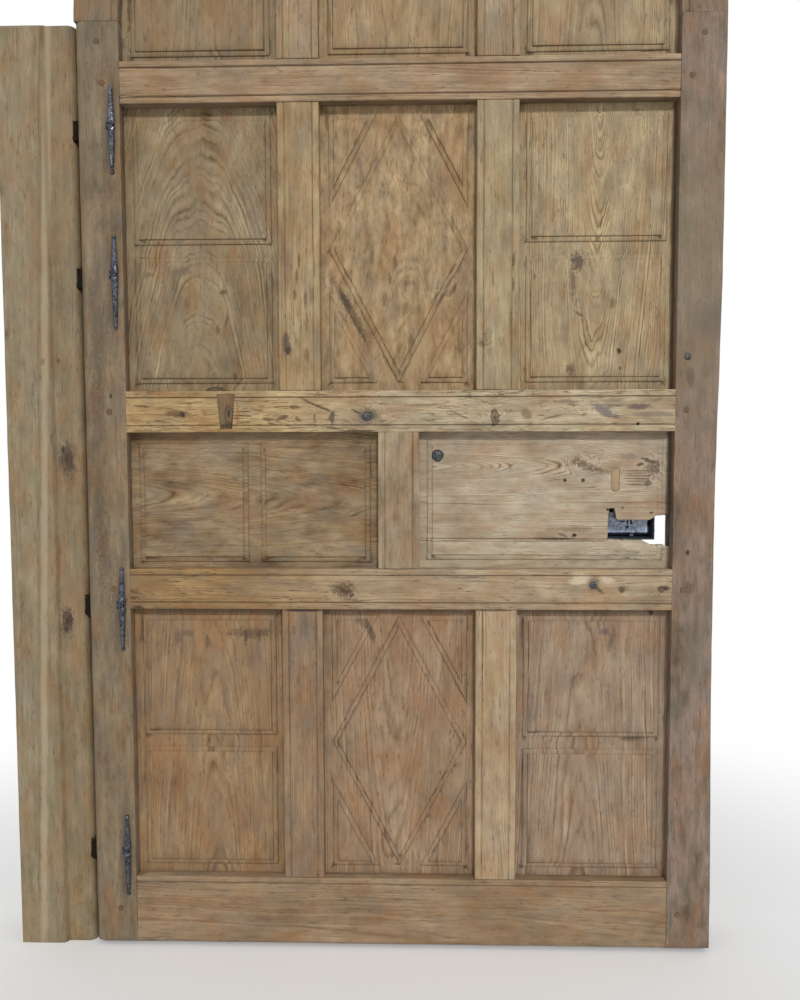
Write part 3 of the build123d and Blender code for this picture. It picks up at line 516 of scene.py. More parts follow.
    def build(self) -> None:
        """Joins rings, fibres, stains, cracks and knots into one surface."""
        pine, tree = self.pine, self.tree
        radius, brown, black = self.knotted(self.radius())
        tone = add(tree, "Math", (self.rings(radius), pine.contrast, 0.5), operation="MULTIPLY_ADD")
        for source, share in (
            (self.drawn(self.BANDS), pine.streak * self.BAND_GAIN),
            (self.patches, pine.patch * self.BAND_GAIN),
            (self.drawn(Streaks(*pine.blot, 4.0, 0.62)), pine.mottle * self.BLOT_GAIN),
            (self.fibre, pine.fuzz),
        ):
            centred = add(tree, "Math", (source, 0.5), operation="SUBTRACT")
            tone = add(tree, "Math", (centred, share, tone), operation="MULTIPLY_ADD")
        pores = self.share(self.PORES, pine.fleck)
        coats = [
            (self.GREYED.colour, self.share(self.GREYED, pine.grey)),
            (self.AMBER.colour, self.share(self.AMBER, pine.warm)),
            (self.PORES.colour, pores),
            (self.SPLIT, self.cracks()),
            *self.marked(),
        ]
        if pine.knots:
            coats += [(self.KNOT_BROWN, brown), (self.KNOT_BLACK, black)]
        shade = self.board_colour(tone)
        # The last coats are the painted shade on faces turned down or aside.
        for colour, share in coats + self.painted_shade():
            shade = add(tree, "Mix", {0: share, 6: shade, 7: linear(colour)}, 2, data_type="RGBA")
        height = add(tree, "Math", (pores, self.PORE_DEPTH, self.fibre), operation="MULTIPLY_ADD")
        bump = add(tree, "Bump", {"Height": height, "Strength": self.STRENGTH, "Distance": self.RELIEF * MM})
        rough = add(tree, "MapRange", (self.fibre, *self.RUBBED_FIBRE, *self.ROUGH))
        wood = {"Base Color": shade, "Roughness": rough, "Normal": bump, "Specular IOR Level": 0.2}
        add(tree, "OutputMaterial", {"Surface": add(tree, "BsdfPrincipled", wood)})


@dataclass(frozen=True)
class Iron:
    """Old wrought iron, hammered, rubbed and rusted in its pits.

    That gives the eye a grey-blue sheen on the high spots, dull dark hollows, and brown specks.
    Blows and pits are in millimetres. Iron in front of the two depths of rim, fading between them,
    and its sides, can take a painted shade, and iron left of two given places takes a dark, dull painted shade.
    """

    name: str
    dark: str
    light: str
    blow: float = 4.0
    pit: float = 1.3
    rough: tuple[float, float] = (0.36, 0.62)
    metallic: float = 0.8
    rust: float = 0.3
    gap_shade_from: tuple[float, float] | None = None
    shaded_walls: str | None = None
    rim: tuple[float, float] = (0.0, 1.0)

    # The first colour is a painted shade for iron in the gap.
    SOOT, RUST, DULL = "#2a241e", "#4b3626", 0.9
    # Specks of rust lie about 11 mm apart, which is 90 to the metre.
    SPECKS, RELIEF, STRENGTH = 90.0, 0.8, 0.6
    HOLLOW, CREST, PIT_SHARE = 0.55, 1.05, 0.6
    # Where specks of rust begin and are whole, and how far a face turns to the viewer to count as rubbed.
    RUSTED, FACING = (0.55, 0.68), (-0.5, -0.85)

    def bare(self, tree: bpy.types.NodeTree, place: Socket) -> list[tuple[str, Socket]]:
        """Finds where the iron takes a painted shade.

        Args:
            tree: the material's tree.
            place: the object's coordinates.

        Returns:
            A shade colour, and how far each point is free of it.
        """
        found = []
        if self.gap_shade_from:
            # The eyes and pintles in the gap take a dark painted shade, and dull roughness.
            start, end = (spot(x, 0.0).x for x in self.gap_shade_from)
            side = add(tree, "SeparateXYZ", (place,), "X")
            found.append((self.SOOT, add(tree, "MapRange", (side, start, end))))
        if self.shaded_walls:
            # Only what faces out through the hole, behind the rim, keeps its own colour; sides, the rim and the
            # room side take a painted shade.
            turned = add(tree, "SeparateXYZ", (add(tree, "TexCoord", output="Normal"),), "Y")
            turned = add(tree, "MapRange", (turned, *self.FACING))
            start, end = (spot(0.0, 0.0, y).y for y in self.rim)
            depth = add(tree, "MapRange", (add(tree, "SeparateXYZ", (place,), "Y"), start, end))
            found.append((self.shaded_walls, add(tree, "Math", (turned, depth), operation="MULTIPLY")))
        return found

    def material(self) -> bpy.types.Material:
        """Builds the finish.

        Returns:
            The material.
        """
        made, tree = new_material("iron_" + self.name)
        place = add(tree, "TexCoord", output="Object")
        blows = {"Vector": place, "Scale": 1.0 / (self.blow * MM), "Detail": 3.0}
        pits = {"Vector": place, "Scale": 1.0 / (self.pit * MM), "Detail": 4.0, "Roughness": 0.7}
        specks = {"Vector": place, "Scale": self.SPECKS, "Detail": 5.0, "Roughness": 0.65}
        blows, pits, specks = (add(tree, "TexNoise", inputs, "Fac") for inputs in (blows, pits, specks))
        height = add(tree, "Math", (pits, self.PIT_SHARE, blows), operation="MULTIPLY_ADD")
        tone = add(tree, "MapRange", (height, self.HOLLOW, self.CREST))
        shade = add(tree, "Mix", {0: tone, 6: linear(self.dark), 7: linear(self.light)}, 2, data_type="RGBA")
        specks = add(tree, "MapRange", (specks, *self.RUSTED, 0.0, self.rust))
        shade = add(tree, "Mix", {0: specks, 6: shade, 7: linear(self.RUST)}, 2, data_type="RGBA")
        smooth, coarse = self.rough
        rough = add(tree, "MapRange", (height, self.HOLLOW, self.CREST, coarse, smooth))
        # Lay the painted shade of the gap and the lock's walls.
        for dull, free in self.bare(tree, place):
            shade = add(tree, "Mix", {0: free, 6: linear(dull), 7: shade}, 2, data_type="RGBA")
            rough = add(tree, "Mix", {0: free, 2: self.DULL, 3: rough})
        bump = add(tree, "Bump", {"Height": height, "Strength": self.STRENGTH, "Distance": self.RELIEF * MM})
        iron = {"Base Color": shade, "Roughness": rough, "Normal": bump, "Metallic": self.metallic}
        add(tree, "OutputMaterial", {"Surface": add(tree, "BsdfPrincipled", iron)})
        return made


def merged_copy(node: str) -> bmesh.types.BMesh:
    """Copies a CAD node's mesh and joins its loose triangles into whole flat faces.

    Args:
        node: the CAD node.

    Returns:
        The joined mesh.
    """
    form = bmesh.new()
    form.from_mesh(frame["nodes"][node].data)
    bmesh.ops.remove_doubles(form, verts=form.verts, dist=WELD)
    bmesh.ops.dissolve_limit(form, angle_limit=FLAT, verts=form.verts, edges=form.edges)
    return form


def soften(form: bmesh.types.BMesh, width: float, least: float) -> None:
    """Rounds the outer arrises in two strips.

    Args:
        form: the mesh.
        width: how far back the rounding starts, in metres.
        least: the smallest turn, in degrees, that counts as an arris.
    """
    turn = math.radians(least)
    edges = [e for e in form.edges if e.is_manifold and e.is_convex and e.calc_face_angle(0.0) > turn]
    bmesh.ops.bevel(
        form, geom=edges, offset=width, offset_type="OFFSET", segments=2, profile=0.5,
        affect="EDGES", clamp_overlap=True, material=-1,
    )


def cut_across(form: bmesh.types.BMesh, axis: int, places: list[float]) -> None:
    """Cuts the mesh across an axis.

    Args:
        form: the mesh.
        axis: X or Z.
        places: where the cuts lie along it, in metres.
    """
    normal = Vector([float(axis == k) for k in range(3)])
    for place in places:
        geometry = form.verts[:] + form.edges[:] + form.faces[:]
        bmesh.ops.bisect_plane(form, geom=geometry, dist=SLIVER, plane_co=normal * place, plane_no=normal)


def slice_up(form: bmesh.types.BMesh, step: float) -> None:
    """Cuts the mesh across and along at even steps, so that its faces can be bent a little.

    Args:
        form: the mesh.
        step: the distance between cuts, in metres.
    """
    for axis in (X, Z):
        places = [v.co[axis] for v in form.verts]
        low, high = min(places), max(places)
        count = int((high - low) / step)
        cut_across(form, axis, [low + (high - low) * n / count for n in range(1, count)])


def unsettle(form: bmesh.types.BMesh, size: float, depth: float, seed: float) -> None:
    """Moves the surface in and out a little, as planing and wear leave it.

    Args:
        form: the mesh.
        size: the width of one swell, in metres.
        depth: how far the surface moves, in metres.
        seed: where in the noise the piece lies.
    """
    form.normal_update()
    shift = Vector((seed, -seed, 2 * seed))
    moves = [v.normal * (depth * noise.noise(v.co / size + shift)) for v in form.verts]
    for vertex, move in zip(form.verts, moves):
        vertex.co += move


def finish_piece(
    name: str, form: bmesh.types.BMesh, material: bpy.types.Material, sharp: float
) -> bpy.types.Object:
    """Turns a mesh under construction into a smooth-shaded object, and reports it.

    Args:
        name: the piece's name.
        form: the mesh, which is freed.
        material: its finish.
        sharp: the turn, in degrees, over which an edge stays sharp.

    Returns:
        The object.
    """
    mesh = bpy.data.meshes.new(name)
    form.normal_update()
    form.to_mesh(mesh)
    form.free()
    mesh.materials.append(material)
    mesh.shade_smooth()
    mesh.set_sharp_from_angle(angle=math.radians(sharp))
    piece = bpy.data.objects.new(name, mesh)
    bpy.context.scene.collection.objects.link(piece)
    LOG.info("%s: %d faces", name, len(mesh.polygons))
    return piece


def stand_for(piece: bpy.types.Object, node: str) -> None:
    """Lets a finished piece take the place of its CAD node.

    Args:
        piece: the object.
        node: the CAD node that it stands for.
    """
    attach(piece, BODIES[node])
    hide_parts(node)


@dataclass(frozen=True)
class Hole:
    """Where a board is broken out beside the lock, and how its edge is torn, in leaf millimetres.

    The edge is torn in chips and finer splinters, up to reach, and fades in from both sides. A face
    counts as edge when less than edge_on of its normal points out of the board.
    Blender takes the offset of its vector noise from the clock unless a seed is set.
    """

    left: float
    low: float
    right: float
    high: float
    lift: float = 0.0
    cut: float = 2.5
    chip: float = 5.0
    splinter: float = 2.2
    splinter_share: float = 0.5
    reach: float = 1.1
    fade: float = 6.0
    edge_on: float = 0.6
    apart: float = 0.2
    seed: int = 7

    def tear(self, form: bmesh.types.BMesh) -> None:
        """Roughens the broken edges in the plane of the board, and lifts the lower lip.

        Args:
            form: the board's mesh.
        """
        start, end = spot(self.left, self.low), spot(self.right, self.high)
        for axis in (X, Z):
            near, far = start[axis], end[axis]
            count = int((far - near) / (self.cut * MM))
            cut_across(form, axis, [near + (far - near) * n / count for n in range(count)])
        form.normal_update()
        sides = [f for f in form.faces if abs(f.normal.y) < self.edge_on]
        torn = {v for f in sides for v in f.verts if start.x < v.co.x < end.x and start.z < v.co.z < end.z}
        noise.seed_set(self.seed)
        for vertex in torn:
            x, z = vertex.co.x, vertex.co.z
            push = noise.noise_vector(Vector((x, 0.0, z)) / (self.chip * MM))
            push += noise.noise_vector(Vector((x, self.apart, z)) / (self.splinter * MM)) * self.splinter_share
            share = min(1.0, (x - start.x) / (self.fade * MM), (end.x - x) / (self.fade * MM))
            vertex.co.x += push.x * self.reach * MM * share
            vertex.co.z += (push.z * self.reach + self.lift) * MM * share


@dataclass
class Board:
    """One wooden member: its CAD node, worn a little, in its own cut of pine, in millimetres and degrees.

    An edge that turns by more than turn is an arris and is rounded, and one over sharp stays crisp.
    The quirk is the groove beside a stile's inner edge, and quirk_left is the share that wear has left.
    """

    node: str
    pine: Pine
    arris: float = 1.4
    step: float = 14.0
    swell: float = 45.0
    wear: float = 0.45
    turn: float = 25.0
    sharp: float = 38.0
    shift: float = 3.1
    worn_quirk: float | None = None
    quirk_half: float = 2.5
    quirk_depth: tuple[float, float] = (0.2, 3.0)
    quirk_left: float = 0.2
    broken: Hole | None = None

    def build(self) -> None:
        """Makes the worn copy and dresses it."""
        form = merged_copy(self.node)
        if self.worn_quirk is not None:
            self.wear_quirk(form)
        soften(form, self.arris * MM, self.turn)
        bmesh.ops.triangulate(form, faces=form.faces)
        slice_up(form, self.step * MM)
        unsettle(form, self.swell * MM, self.wear * MM, self.pine.seed + self.shift)
        if self.broken:
            self.broken.tear(form)
        piece = finish_piece("worn_" + self.node, form, self.pine.material(self.node), self.sharp)
        stand_for(piece, self.node)

    def wear_quirk(self, form: bmesh.types.BMesh) -> None:
        """Leaves only a shallow trace of the quirk along a stile, where hands have rubbed it away.

        Args:
            form: the stile's mesh.
        """
        face = ORIGIN.y
        middle = spot(self.worn_quirk, 0.0).x
        least, most = self.quirk_depth
        for vertex in form.verts:
            depth = vertex.co.y - face
            if abs(vertex.co.x - middle) < self.quirk_half * MM and least * MM < depth < most * MM:
                vertex.co.y = face + self.quirk_left * depth


@dataclass
class Forging:
    """One iron piece: its CAD node with softened arrises and hammered faces, in millimetres and degrees.

    Edges longer than edge are halved so many rounds, so that blows of the given size and depth show.
    """

    node: str
    arris: float = 0.8
    blow: float = 5.0
    depth: float = 0.35
    edge: float = 2.5
    rounds: int = 1
    turn: float = 20.0
    sharp: float = 50.0
    seed: float = 7.7

    def build(self, material: bpy.types.Material) -> None:
        """Makes the hammered copy and dresses it.

        Args:
            material: the iron's finish.
        """
        form = merged_copy(self.node)
        soften(form, self.arris * MM, self.turn)
        bmesh.ops.triangulate(form, faces=form.faces)
        for _ in range(self.rounds):
            long = [e for e in form.edges if e.calc_length() > self.edge * MM]
            bmesh.ops.subdivide_edges(form, edges=long, cuts=1, use_grid_fill=True)
            bmesh.ops.triangulate(form, faces=form.faces)
        unsettle(form, self.blow * MM, self.depth * MM, self.seed)
        piece = finish_piece("forged_" + self.node, form, material, self.sharp)
        stand_for(piece, self.node)


@dataclass
class Leaf:
    """The door leaf: stiles, rails, muntins and panels, each in its own cut of pine."""

    hinges: tuple[float, ...] = (152.0, 560.0, 1085.0, 1314.0)

    def build(self) -> None:
        """Builds every wooden member of the leaf, from the stiles inwards."""
        for board in (
            *self.stiles(), *self.rails(), *self.muntins(), *self.head_rails(), *self.upper_panels(),
            *self.lower_panels(), *self.head_panels(), *self.lock_panels(),
        ):
            board.build()

    def stiles(self) -> list[Board]:
        """The upright members at both edges, with painted shadows and rust stains beside the irons and an old pale
        patch.

        Returns:
            Both stiles.
        """
        up = Grain.UPRIGHT
        # Beside each hinge leg, a soft painted shadow of the leg that is also a rust halo.
        leg_shadows_and_stains = tuple(Mark(-450, z, 18, 170, "#4b4136", 0.6, 3, 1.5) for z in self.hinges)
        leg_shadows_and_stains += (
            Mark(-479, 800, 22, 300, "#54483b", 0.45, 1, soft=1.5, ragged=0.9),
            Mark(-473, 650, 20, 150, "#4f4338", 0.5, -2, soft=1.5, ragged=0.9),
            Mark(-476, 1010, 20, 190, "#54483b", 0.45, 1, soft=1.5, ragged=0.9),
            Mark(-457.7, 903, 5, 8, "#382b22"),
        )
        lock_stile_marks = (
            Mark(470, 1100, 100, 420, "#7d7259", 0.5, soft=1.5),
            Mark(485.6, 1019, 46, 60, "#6a6058", 0.7, soft=1.4), Mark(455.6, 654, 6, 8, "#2a2019", 0.9),
            Mark(456, 930, 12, 30, "#574639", 0.5), Mark(458, 597, 16, 22, "#4a3c31", 0.5),
        )
        return [
            Board("hinge_stile", Pine(
                "#665845", "#8b7b62", up, (-560, 60, 700), (1, 0.4), ring=3, contrast=0.35, mottle=0.9,
                grey=0.6, marks=leg_shadows_and_stains, seed=1,
            ), arris=2, worn_quirk=-452),
            Board("lock_stile", Pine(
                "#66594a", "#8f7c6e", up, (590, 90, 700), (0.8, -0.5), ring=3.4, contrast=0.4, patch=1.5,
                mottle=0.9, grey=0.6, marks=lock_stile_marks, seed=2,
            ), arris=2.2, worn_quirk=452),
        ]

    def rails(self) -> list[Board]:
        """The level members, which the photo shows yellower than the stiles.

        Returns:
            The four level rails.
        """
        level = Grain.LEVEL
        upper_rail_knots = (
            Knot(151.4, 867.4, 12, 26, 0.8), Knot(-180, 869, 8, 7, 0.4), Knot(-48, 871, 16, 14, 0.5),
            Knot(-345, 874, 8, 6, 0.6), Knot(290, 872, 8, 6, 0.4),
        )
        upper_rail_marks = (
            Mark(-352, 875.5, 38, 9, "#5b3d2b", 0.75), Mark(-342.6, 873, 7, 8, "#2c1b14", 0.9),
            Mark(-126, 886, 56, 3.5, "#463630", 0.8, 24), Mark(-104, 868, 9, 20, "#4d423c"),
            Mark(-185, 868, 16, 6, "#5e452e", 0.8, -20), Mark(-160, 866, 12, 5, "#5e452e", 0.7, 30),
            Mark(-48, 871, 30, 20, "#443b36", 0.7, soft=1.3), Mark(-66, 877, 16, 4, "#443b36", 0.8, 30),
            Mark(323, 877, 40, 12, "#6a5f60", 0.8, 28), Mark(377, 884, 36, 9, "#5c4f4b"),
            Mark(-404, 887, 24, 3, "#5a452f", 0.8, 4), Mark(-330, 892, 44, 3, "#6b5338", 0.7, -3),
            Mark(-205, 866, 14, 6, "#54402c", 0.7, 10, ragged=0.8),
            Mark(-163, 885, 14, 5, "#54402c", 0.7, ragged=0.8), Mark(-132, 867, 5, 14, "#5e4932", 0.6),
            Mark(-240, 861, 26, 4, "#5e4932", 0.7, -6), Mark(-66, 847, 60, 3, "#33271c"),
            Mark(-105, 852, 30, 4, "#4b3929", 0.7, 8), Mark(-255.5, 875, 3.5, 46, "#8a5c2e", 0.6),
            Mark(-223, 880, 20, 3, "#6b5338", 0.7, 12), Mark(40, 888, 60, 3, "#6b5338", 0.6, -2),
            Mark(95, 872, 26, 4, "#6b5338", 0.6, 25), Mark(240, 868, 34, 3, "#6b5338", 0.7, -14),
            Mark(400, 872, 70, 8, "#776a5f", 0.7), Mark(201.5, 873.7, 14, 18, "#75614c", 0.7),
            Mark(374.8, 856.8, 5, 4.5, "#15100d", 1, soft=0.4, ragged=0.1),
            Mark(263, 892, 44, 6, "#75665a", 0.7),
        )
        lower_rail_marks = (
            Mark(288, 610.5, 30, 16, "#ccbca2", 0.7, -12), Mark(330, 610.5, 26, 10, "#ccbca2", 0.6, 10),
            Mark(309, 604, 20, 20, "#5d5349", 0.6, soft=1), Mark(318, 594, 16, 6, "#4b3d30", 0.7, 40),
            Mark(-88, 594, 32, 24, "#54412f", 0.75, ragged=1.1),
            Mark(-80, 588, 26, 7, "#4b3929", 0.8, 30, ragged=1),
            Mark(-428, 590, 26, 6, "#5a4431", 0.8, 20, ragged=1),
            Mark(-430, 580, 20, 5, "#4b3929", ragged=1), Mark(356, 597, 18, 12, "#75624c", 0.5),
            Mark(419, 597, 20, 8, "#33271d", 0.85),
        )
        return [
            Board("upper_rail", Pine(
                "#846c48", "#bda173", level, (100, -70, 800), (0.8, 0.8), ring=2.6, contrast=0.9,
                mottle=0.8, fleck=0.9, crack=1, curl=15, knots=upper_rail_knots, marks=upper_rail_marks,
                seed=3, far=("#8d7d62", "#c4b495"),
            )),
            Board("lower_rail", Pine(
                "#71573a", "#a4865c", level, (0, 90, 690), (0.6, 0.9), contrast=0.6, fleck=0.7, crack=1,
                marks=lower_rail_marks, seed=4, far=("#867157", "#b8a588"),
            )),
            Board("spring_rail", Pine("#7b6448", "#ad967a", level, (0, 90, 1290), (0.6, 0.9), seed=5)),
            Board("bottom_rail", Pine("#735c43", "#a08a6e", level, (0, 90, 10), (0.6, 0.7), seed=6)),
        ]

    def muntins(self) -> list[Board]:
        """The short uprights between the panels.

        Returns:
            The seven muntins.
        """
        up = Grain.UPRIGHT
        upper_muntin_marks = (
            Mark(-177, 984, 13, 34, "#584a42"), Mark(-173, 974, 8, 14, "#3b2d2a"),
            Mark(-136, 1060, 8, 26, "#6f5c45", 0.6), Mark(-159, 1088, 5, 22, "#5d4730", 0.75, soft=1.1),
            Mark(-162.5, 1061, 6, 16, "#5d4730", 0.7, soft=1.1),
            Mark(-145.4, 1054, 5, 26, "#5d4730", 0.7, soft=1.1),
            Mark(-143.8, 1017, 5, 34, "#6a5238", 0.6, soft=1.1),
            Mark(-144, 966, 6, 20, "#6a5238", 0.6, soft=1.1),
            Mark(-155.4, 1111, 5, 22, "#5d4730", 0.7, soft=1.1),
            Mark(-130.5, 1101, 4, 30, "#6a5238", 0.6, soft=1.1),
        )
        upper_muntin_scratches = (
            Mark(136, 991, 14, 26, "#6a5c46", 0.45, 24, soft=1.2, ragged=1.3),
            Mark(131, 983, 9, 9, "#5d503c", 0.6, soft=1.2, ragged=1),
            Mark(143, 972, 8, 24, "#6a5c46", 0.45, -8, soft=1.2, ragged=1.2),
            Mark(180, 1110, 4, 26, "#4f3f2d", 0.75), Mark(180, 1073, 4, 20, "#5a4833", 0.7),
            Mark(175, 1017, 3, 40, "#66583f", 0.6), Mark(148, 1083, 4, 26, "#74664c", 0.6),
        )
        # The first and last are painted shadow lines along the muntin's top, in the joint under the rail; the rest
        # are stains.
        foot_marks = (
            Mark(-153, 560.5, 66, 5, "#1f1815", 0.85, ragged=0.3),
            Mark(-150, 536, 10, 40, "#63544c", 0.6, soft=1.2),
            Mark(-133, 530, 7, 44, "#63544c", 0.5, soft=1.2), Mark(150, 561, 66, 3, "#2a2019", 0.7),
        )
        return [
            Board("lock_muntin", Pine(
                "#7f6c53", "#ad9b80", up, (90, 70, 700), (0.9, 0.8), ring=3, contrast=0.4, mottle=0.8,
                seed=7,
            )),
            Board("upper_muntin_left", Pine(
                "#816b4b", "#b29c77", up, (-250, 70, 900), (0.9, 0.6), ring=3, contrast=0.5, mottle=0.7,
                marks=upper_muntin_marks, seed=8,
            )),
            Board("upper_muntin_right", Pine(
                "#867655", "#b5a583", up, (230, 70, 900), (0.6, -0.6), ring=3, contrast=0.5, grey=0.5,
                marks=upper_muntin_scratches, seed=9,
            )),
            Board("lower_muntin_left", Pine(
                "#715943", "#9e866a", up, (-60, 70, 300), (0.9, 0.6), ring=3, grey=0.7, marks=foot_marks,
                seed=10,
            )),
            Board("lower_muntin_right", Pine(
                "#8c7759", "#bba587", up, (250, 70, 300), (0.5, -0.6), ring=3, marks=foot_marks, seed=11,
            )),
            Board("head_muntin_left", Pine(
                "#7c6547", "#aa9476", up, (-60, 70, 1600), (0.9, 0.6), ring=3, seed=12,
            )),
            Board("head_muntin_right", Pine(
                "#7e6b4f", "#ac9a7f", up, (250, 70, 1600), (0.5, -0.6), ring=3, seed=13,
            )),
        ]

    def head_rails(self) -> list[Board]:
        """The two halves of the arched rail.

        Returns:
            Both halves.
        """
        up = Grain.UPRIGHT
        return [
            Board("head_rail_left", Pine("#695a46", "#927f65", up, (-620, 60, 1600), (1.2, 9), seed=14)),
            Board("head_rail_right", Pine("#675949", "#927d69", up, (620, 60, 1600), (1.2, -9), seed=15)),
        ]

    def upper_panels(self) -> list[Board]:
        """The row of panels above the upper rail, the middle one with its lozenge.

        Returns:
            The three panels.
        """
        up = Grain.UPRIGHT
        upper_left_knots = (Knot(-294, 911, 30, 14, 0.8),)
        upper_left_marks = (
            Mark(-346, 1100, 34, 12, "#6c5c4d", 0.75, -6, soft=1.2),
            Mark(-278, 1068, 12, 7, "#54402c", 0.75), Mark(-288, 1009, 7, 14, "#5a4833", 0.7),
            Mark(-274, 1023, 5, 22, "#5f4d38", 0.7, 10), Mark(-261, 934, 6, 12, "#54402c", 0.7),
            Mark(-397, 1096, 16, 8, "#66543f", 0.6),
        )
        lozenge_marks = (
            Mark(-76, 1038, 12, 96, "#54432f", 0.75, -30, soft=1.2),
            Mark(-85, 1054, 10, 34, "#3a3029", 0.65, -28, soft=1.2),
            Mark(-64, 1010, 5, 60, "#3f3226", 0.6, -30, soft=1, ragged=0.4),
            Mark(16, 1079, 24, 9, "#6a543b", 0.5, -12, soft=1.2, ragged=0.9),
            Mark(12, 1074, 5, 18, "#5f4a33", 0.5, soft=1.2), Mark(-13.6, 1087, 6, 20, "#5f4a33", 0.7),
            Mark(-5, 1114, 6, 18, "#5f4a33", 0.7), Mark(-41, 1120, 7, 24, "#64503a", 0.6),
            Mark(87, 1071, 5, 22, "#54432f", 0.65, 26, soft=1.1),
            Mark(79, 1080, 3.5, 26, "#4a3a29", 0.6, 32, soft=1),
            Mark(67, 1056, 4, 30, "#54432f", 0.65, 34, soft=1),
            Mark(61.8, 1078, 4, 20, "#64503a", 0.5, 8, soft=1.1), Mark(-22, 1056, 8, 24, "#6a543b", 0.6),
            Mark(12, 1039, 12, 22, "#6a543b", 0.55, 20), Mark(58, 1058, 3, 20, "#3f3124", 0.6, 34, soft=1),
            Mark(30, 968, 16, 80, "#a28a66", 0.85, 28, soft=1, ragged=0.3),
        )
        upper_right_marks = (
            Mark(281, 1112, 18, 26, "#4d3f3a", soft=1.3, ragged=0.9),
            Mark(274, 1082, 8, 46, "#57463c", 0.65, soft=1.3, ragged=0.9),
            Mark(348, 972, 6, 9, "#33251c", 0.9), Mark(350, 945, 5, 6, "#4b382a"),
            Mark(271, 944, 11, 15, "#54413a", 0.7, soft=1.3, ragged=0.9),
            Mark(285, 1030, 16, 5, "#5b4837", 0.7, 30), Mark(336, 1046, 8, 16, "#6a5643", 0.7),
            # A painted shade along the right edge, where the lock stile's side lies in shadow.
            Mark(431.5, 1130, 10, 900, "#33271b", 0.7, ragged=0.05),
        )
        return [
            Board("upper_panel_left", Pine(
                "#726147", "#99886a", up, (-318, 95, 1000), (-11, 0.6), ring=3.4, contrast=1.2, patch=1.3,
                mottle=0.6, side_shade=0.3, knots=upper_left_knots, marks=upper_left_marks, seed=16,
            )),
            Board("upper_panel_middle", Pine(
                "#7a6547", "#b59b76", up, (10, 90, 1000), (-6, -0.6), ring=3, contrast=0.4, mottle=0.85,
                blot=(11, 27), side_shade=0.22, marks=lozenge_marks, seed=17,
            )),
            Board("upper_panel_right", Pine(
                "#847256", "#b6a37f", up, (309, 62, 1000), (6, 0.5), ring=2.3, contrast=1.3, mottle=0.6,
                side_shade=0.3, marks=upper_right_marks, seed=18,
            )),
        ]

    def lower_panels(self) -> list[Board]:
        """The row of panels below the lower rail, with a painted shade along the top, under the rail.

        Returns:
            The three panels.
        """
        up = Grain.UPRIGHT
        # Each list ends with a band of painted shade along the panel's top, under the rail.
        lower_left_marks = (
            Mark(-240, 520, 70, 14, "#4d3c2e", 0.6, soft=1.2, ragged=1.2),
            Mark(-250, 514, 5, 26, "#43342a", 0.6), Mark(-228, 516, 5, 22, "#43342a", 0.6),
            Mark(-361, 514, 9, 26, "#5b4a3c", 0.6), Mark(-313, 506, 7, 22, "#54402f", 0.6),
            Mark(-345, 519, 22, 10, "#5d4d40", 0.5), Mark(-300, 559, 250, 12, "#5d5046", 0.5),
        )
        lower_middle_marks = (
            Mark(-46, 522, 10, 40, "#43342a", 0.6, -20), Mark(-58, 536, 26, 12, "#51423a", 0.5, 30),
            Mark(0, 559, 260, 12, "#5d5046", 0.5),
        )
        lower_right_marks = (
            Mark(405, 555, 8, 8, "#241b17", 0.85), Mark(331, 524, 16, 10, "#5c4f4b", 0.65),
            Mark(343, 511, 10, 34, "#5c4f4b", 0.6, 12), Mark(298, 559, 250, 12, "#5d5046", 0.5),
        )
        return [
            Board("lower_panel_left", Pine(
                "#735940", "#9f8563", up, (-300, 62, 250), (-4, 0.6), ring=4.2, contrast=0.8, side_shade=0.35,
                marks=lower_left_marks, seed=19,
            )),
            Board("lower_panel_middle", Pine(
                "#776047", "#a78d72", up, (-10, 62, 250), (4, 0.6), ring=4.2, contrast=0.8, side_shade=0.35,
                marks=lower_middle_marks, seed=20,
            )),
            Board("lower_panel_right", Pine(
                "#7a6553", "#a7937b", up, (290, 62, 250), (-4, 0.6), ring=4.2, contrast=1.1, side_shade=0.35,
                marks=lower_right_marks, seed=21,
            )),
        ]

    def head_panels(self) -> list[Board]:
        """The panels under the arch.

        Returns:
            The three panels.
        """
        up = Grain.UPRIGHT
        return [
            Board("head_panel_left", Pine(
                "#726147", "#9b896b", up, (-300, 62, 1650), (-4, 0.6), ring=4.2, contrast=0.8, side_shade=0.45,
                seed=22,
            )),
            Board("head_panel_middle", Pine(
                "#7d6949", "#b19774", up, (0, 62, 1650), (4, 0.6), ring=4.2, contrast=0.8, side_shade=0.45,
                seed=23,
            )),
            Board("head_panel_right", Pine(
                "#816e52", "#b19e7c", up, (300, 62, 1650), (-4, 0.6), ring=4.2, contrast=0.8, side_shade=0.45,
                seed=24,
            )),
        ]

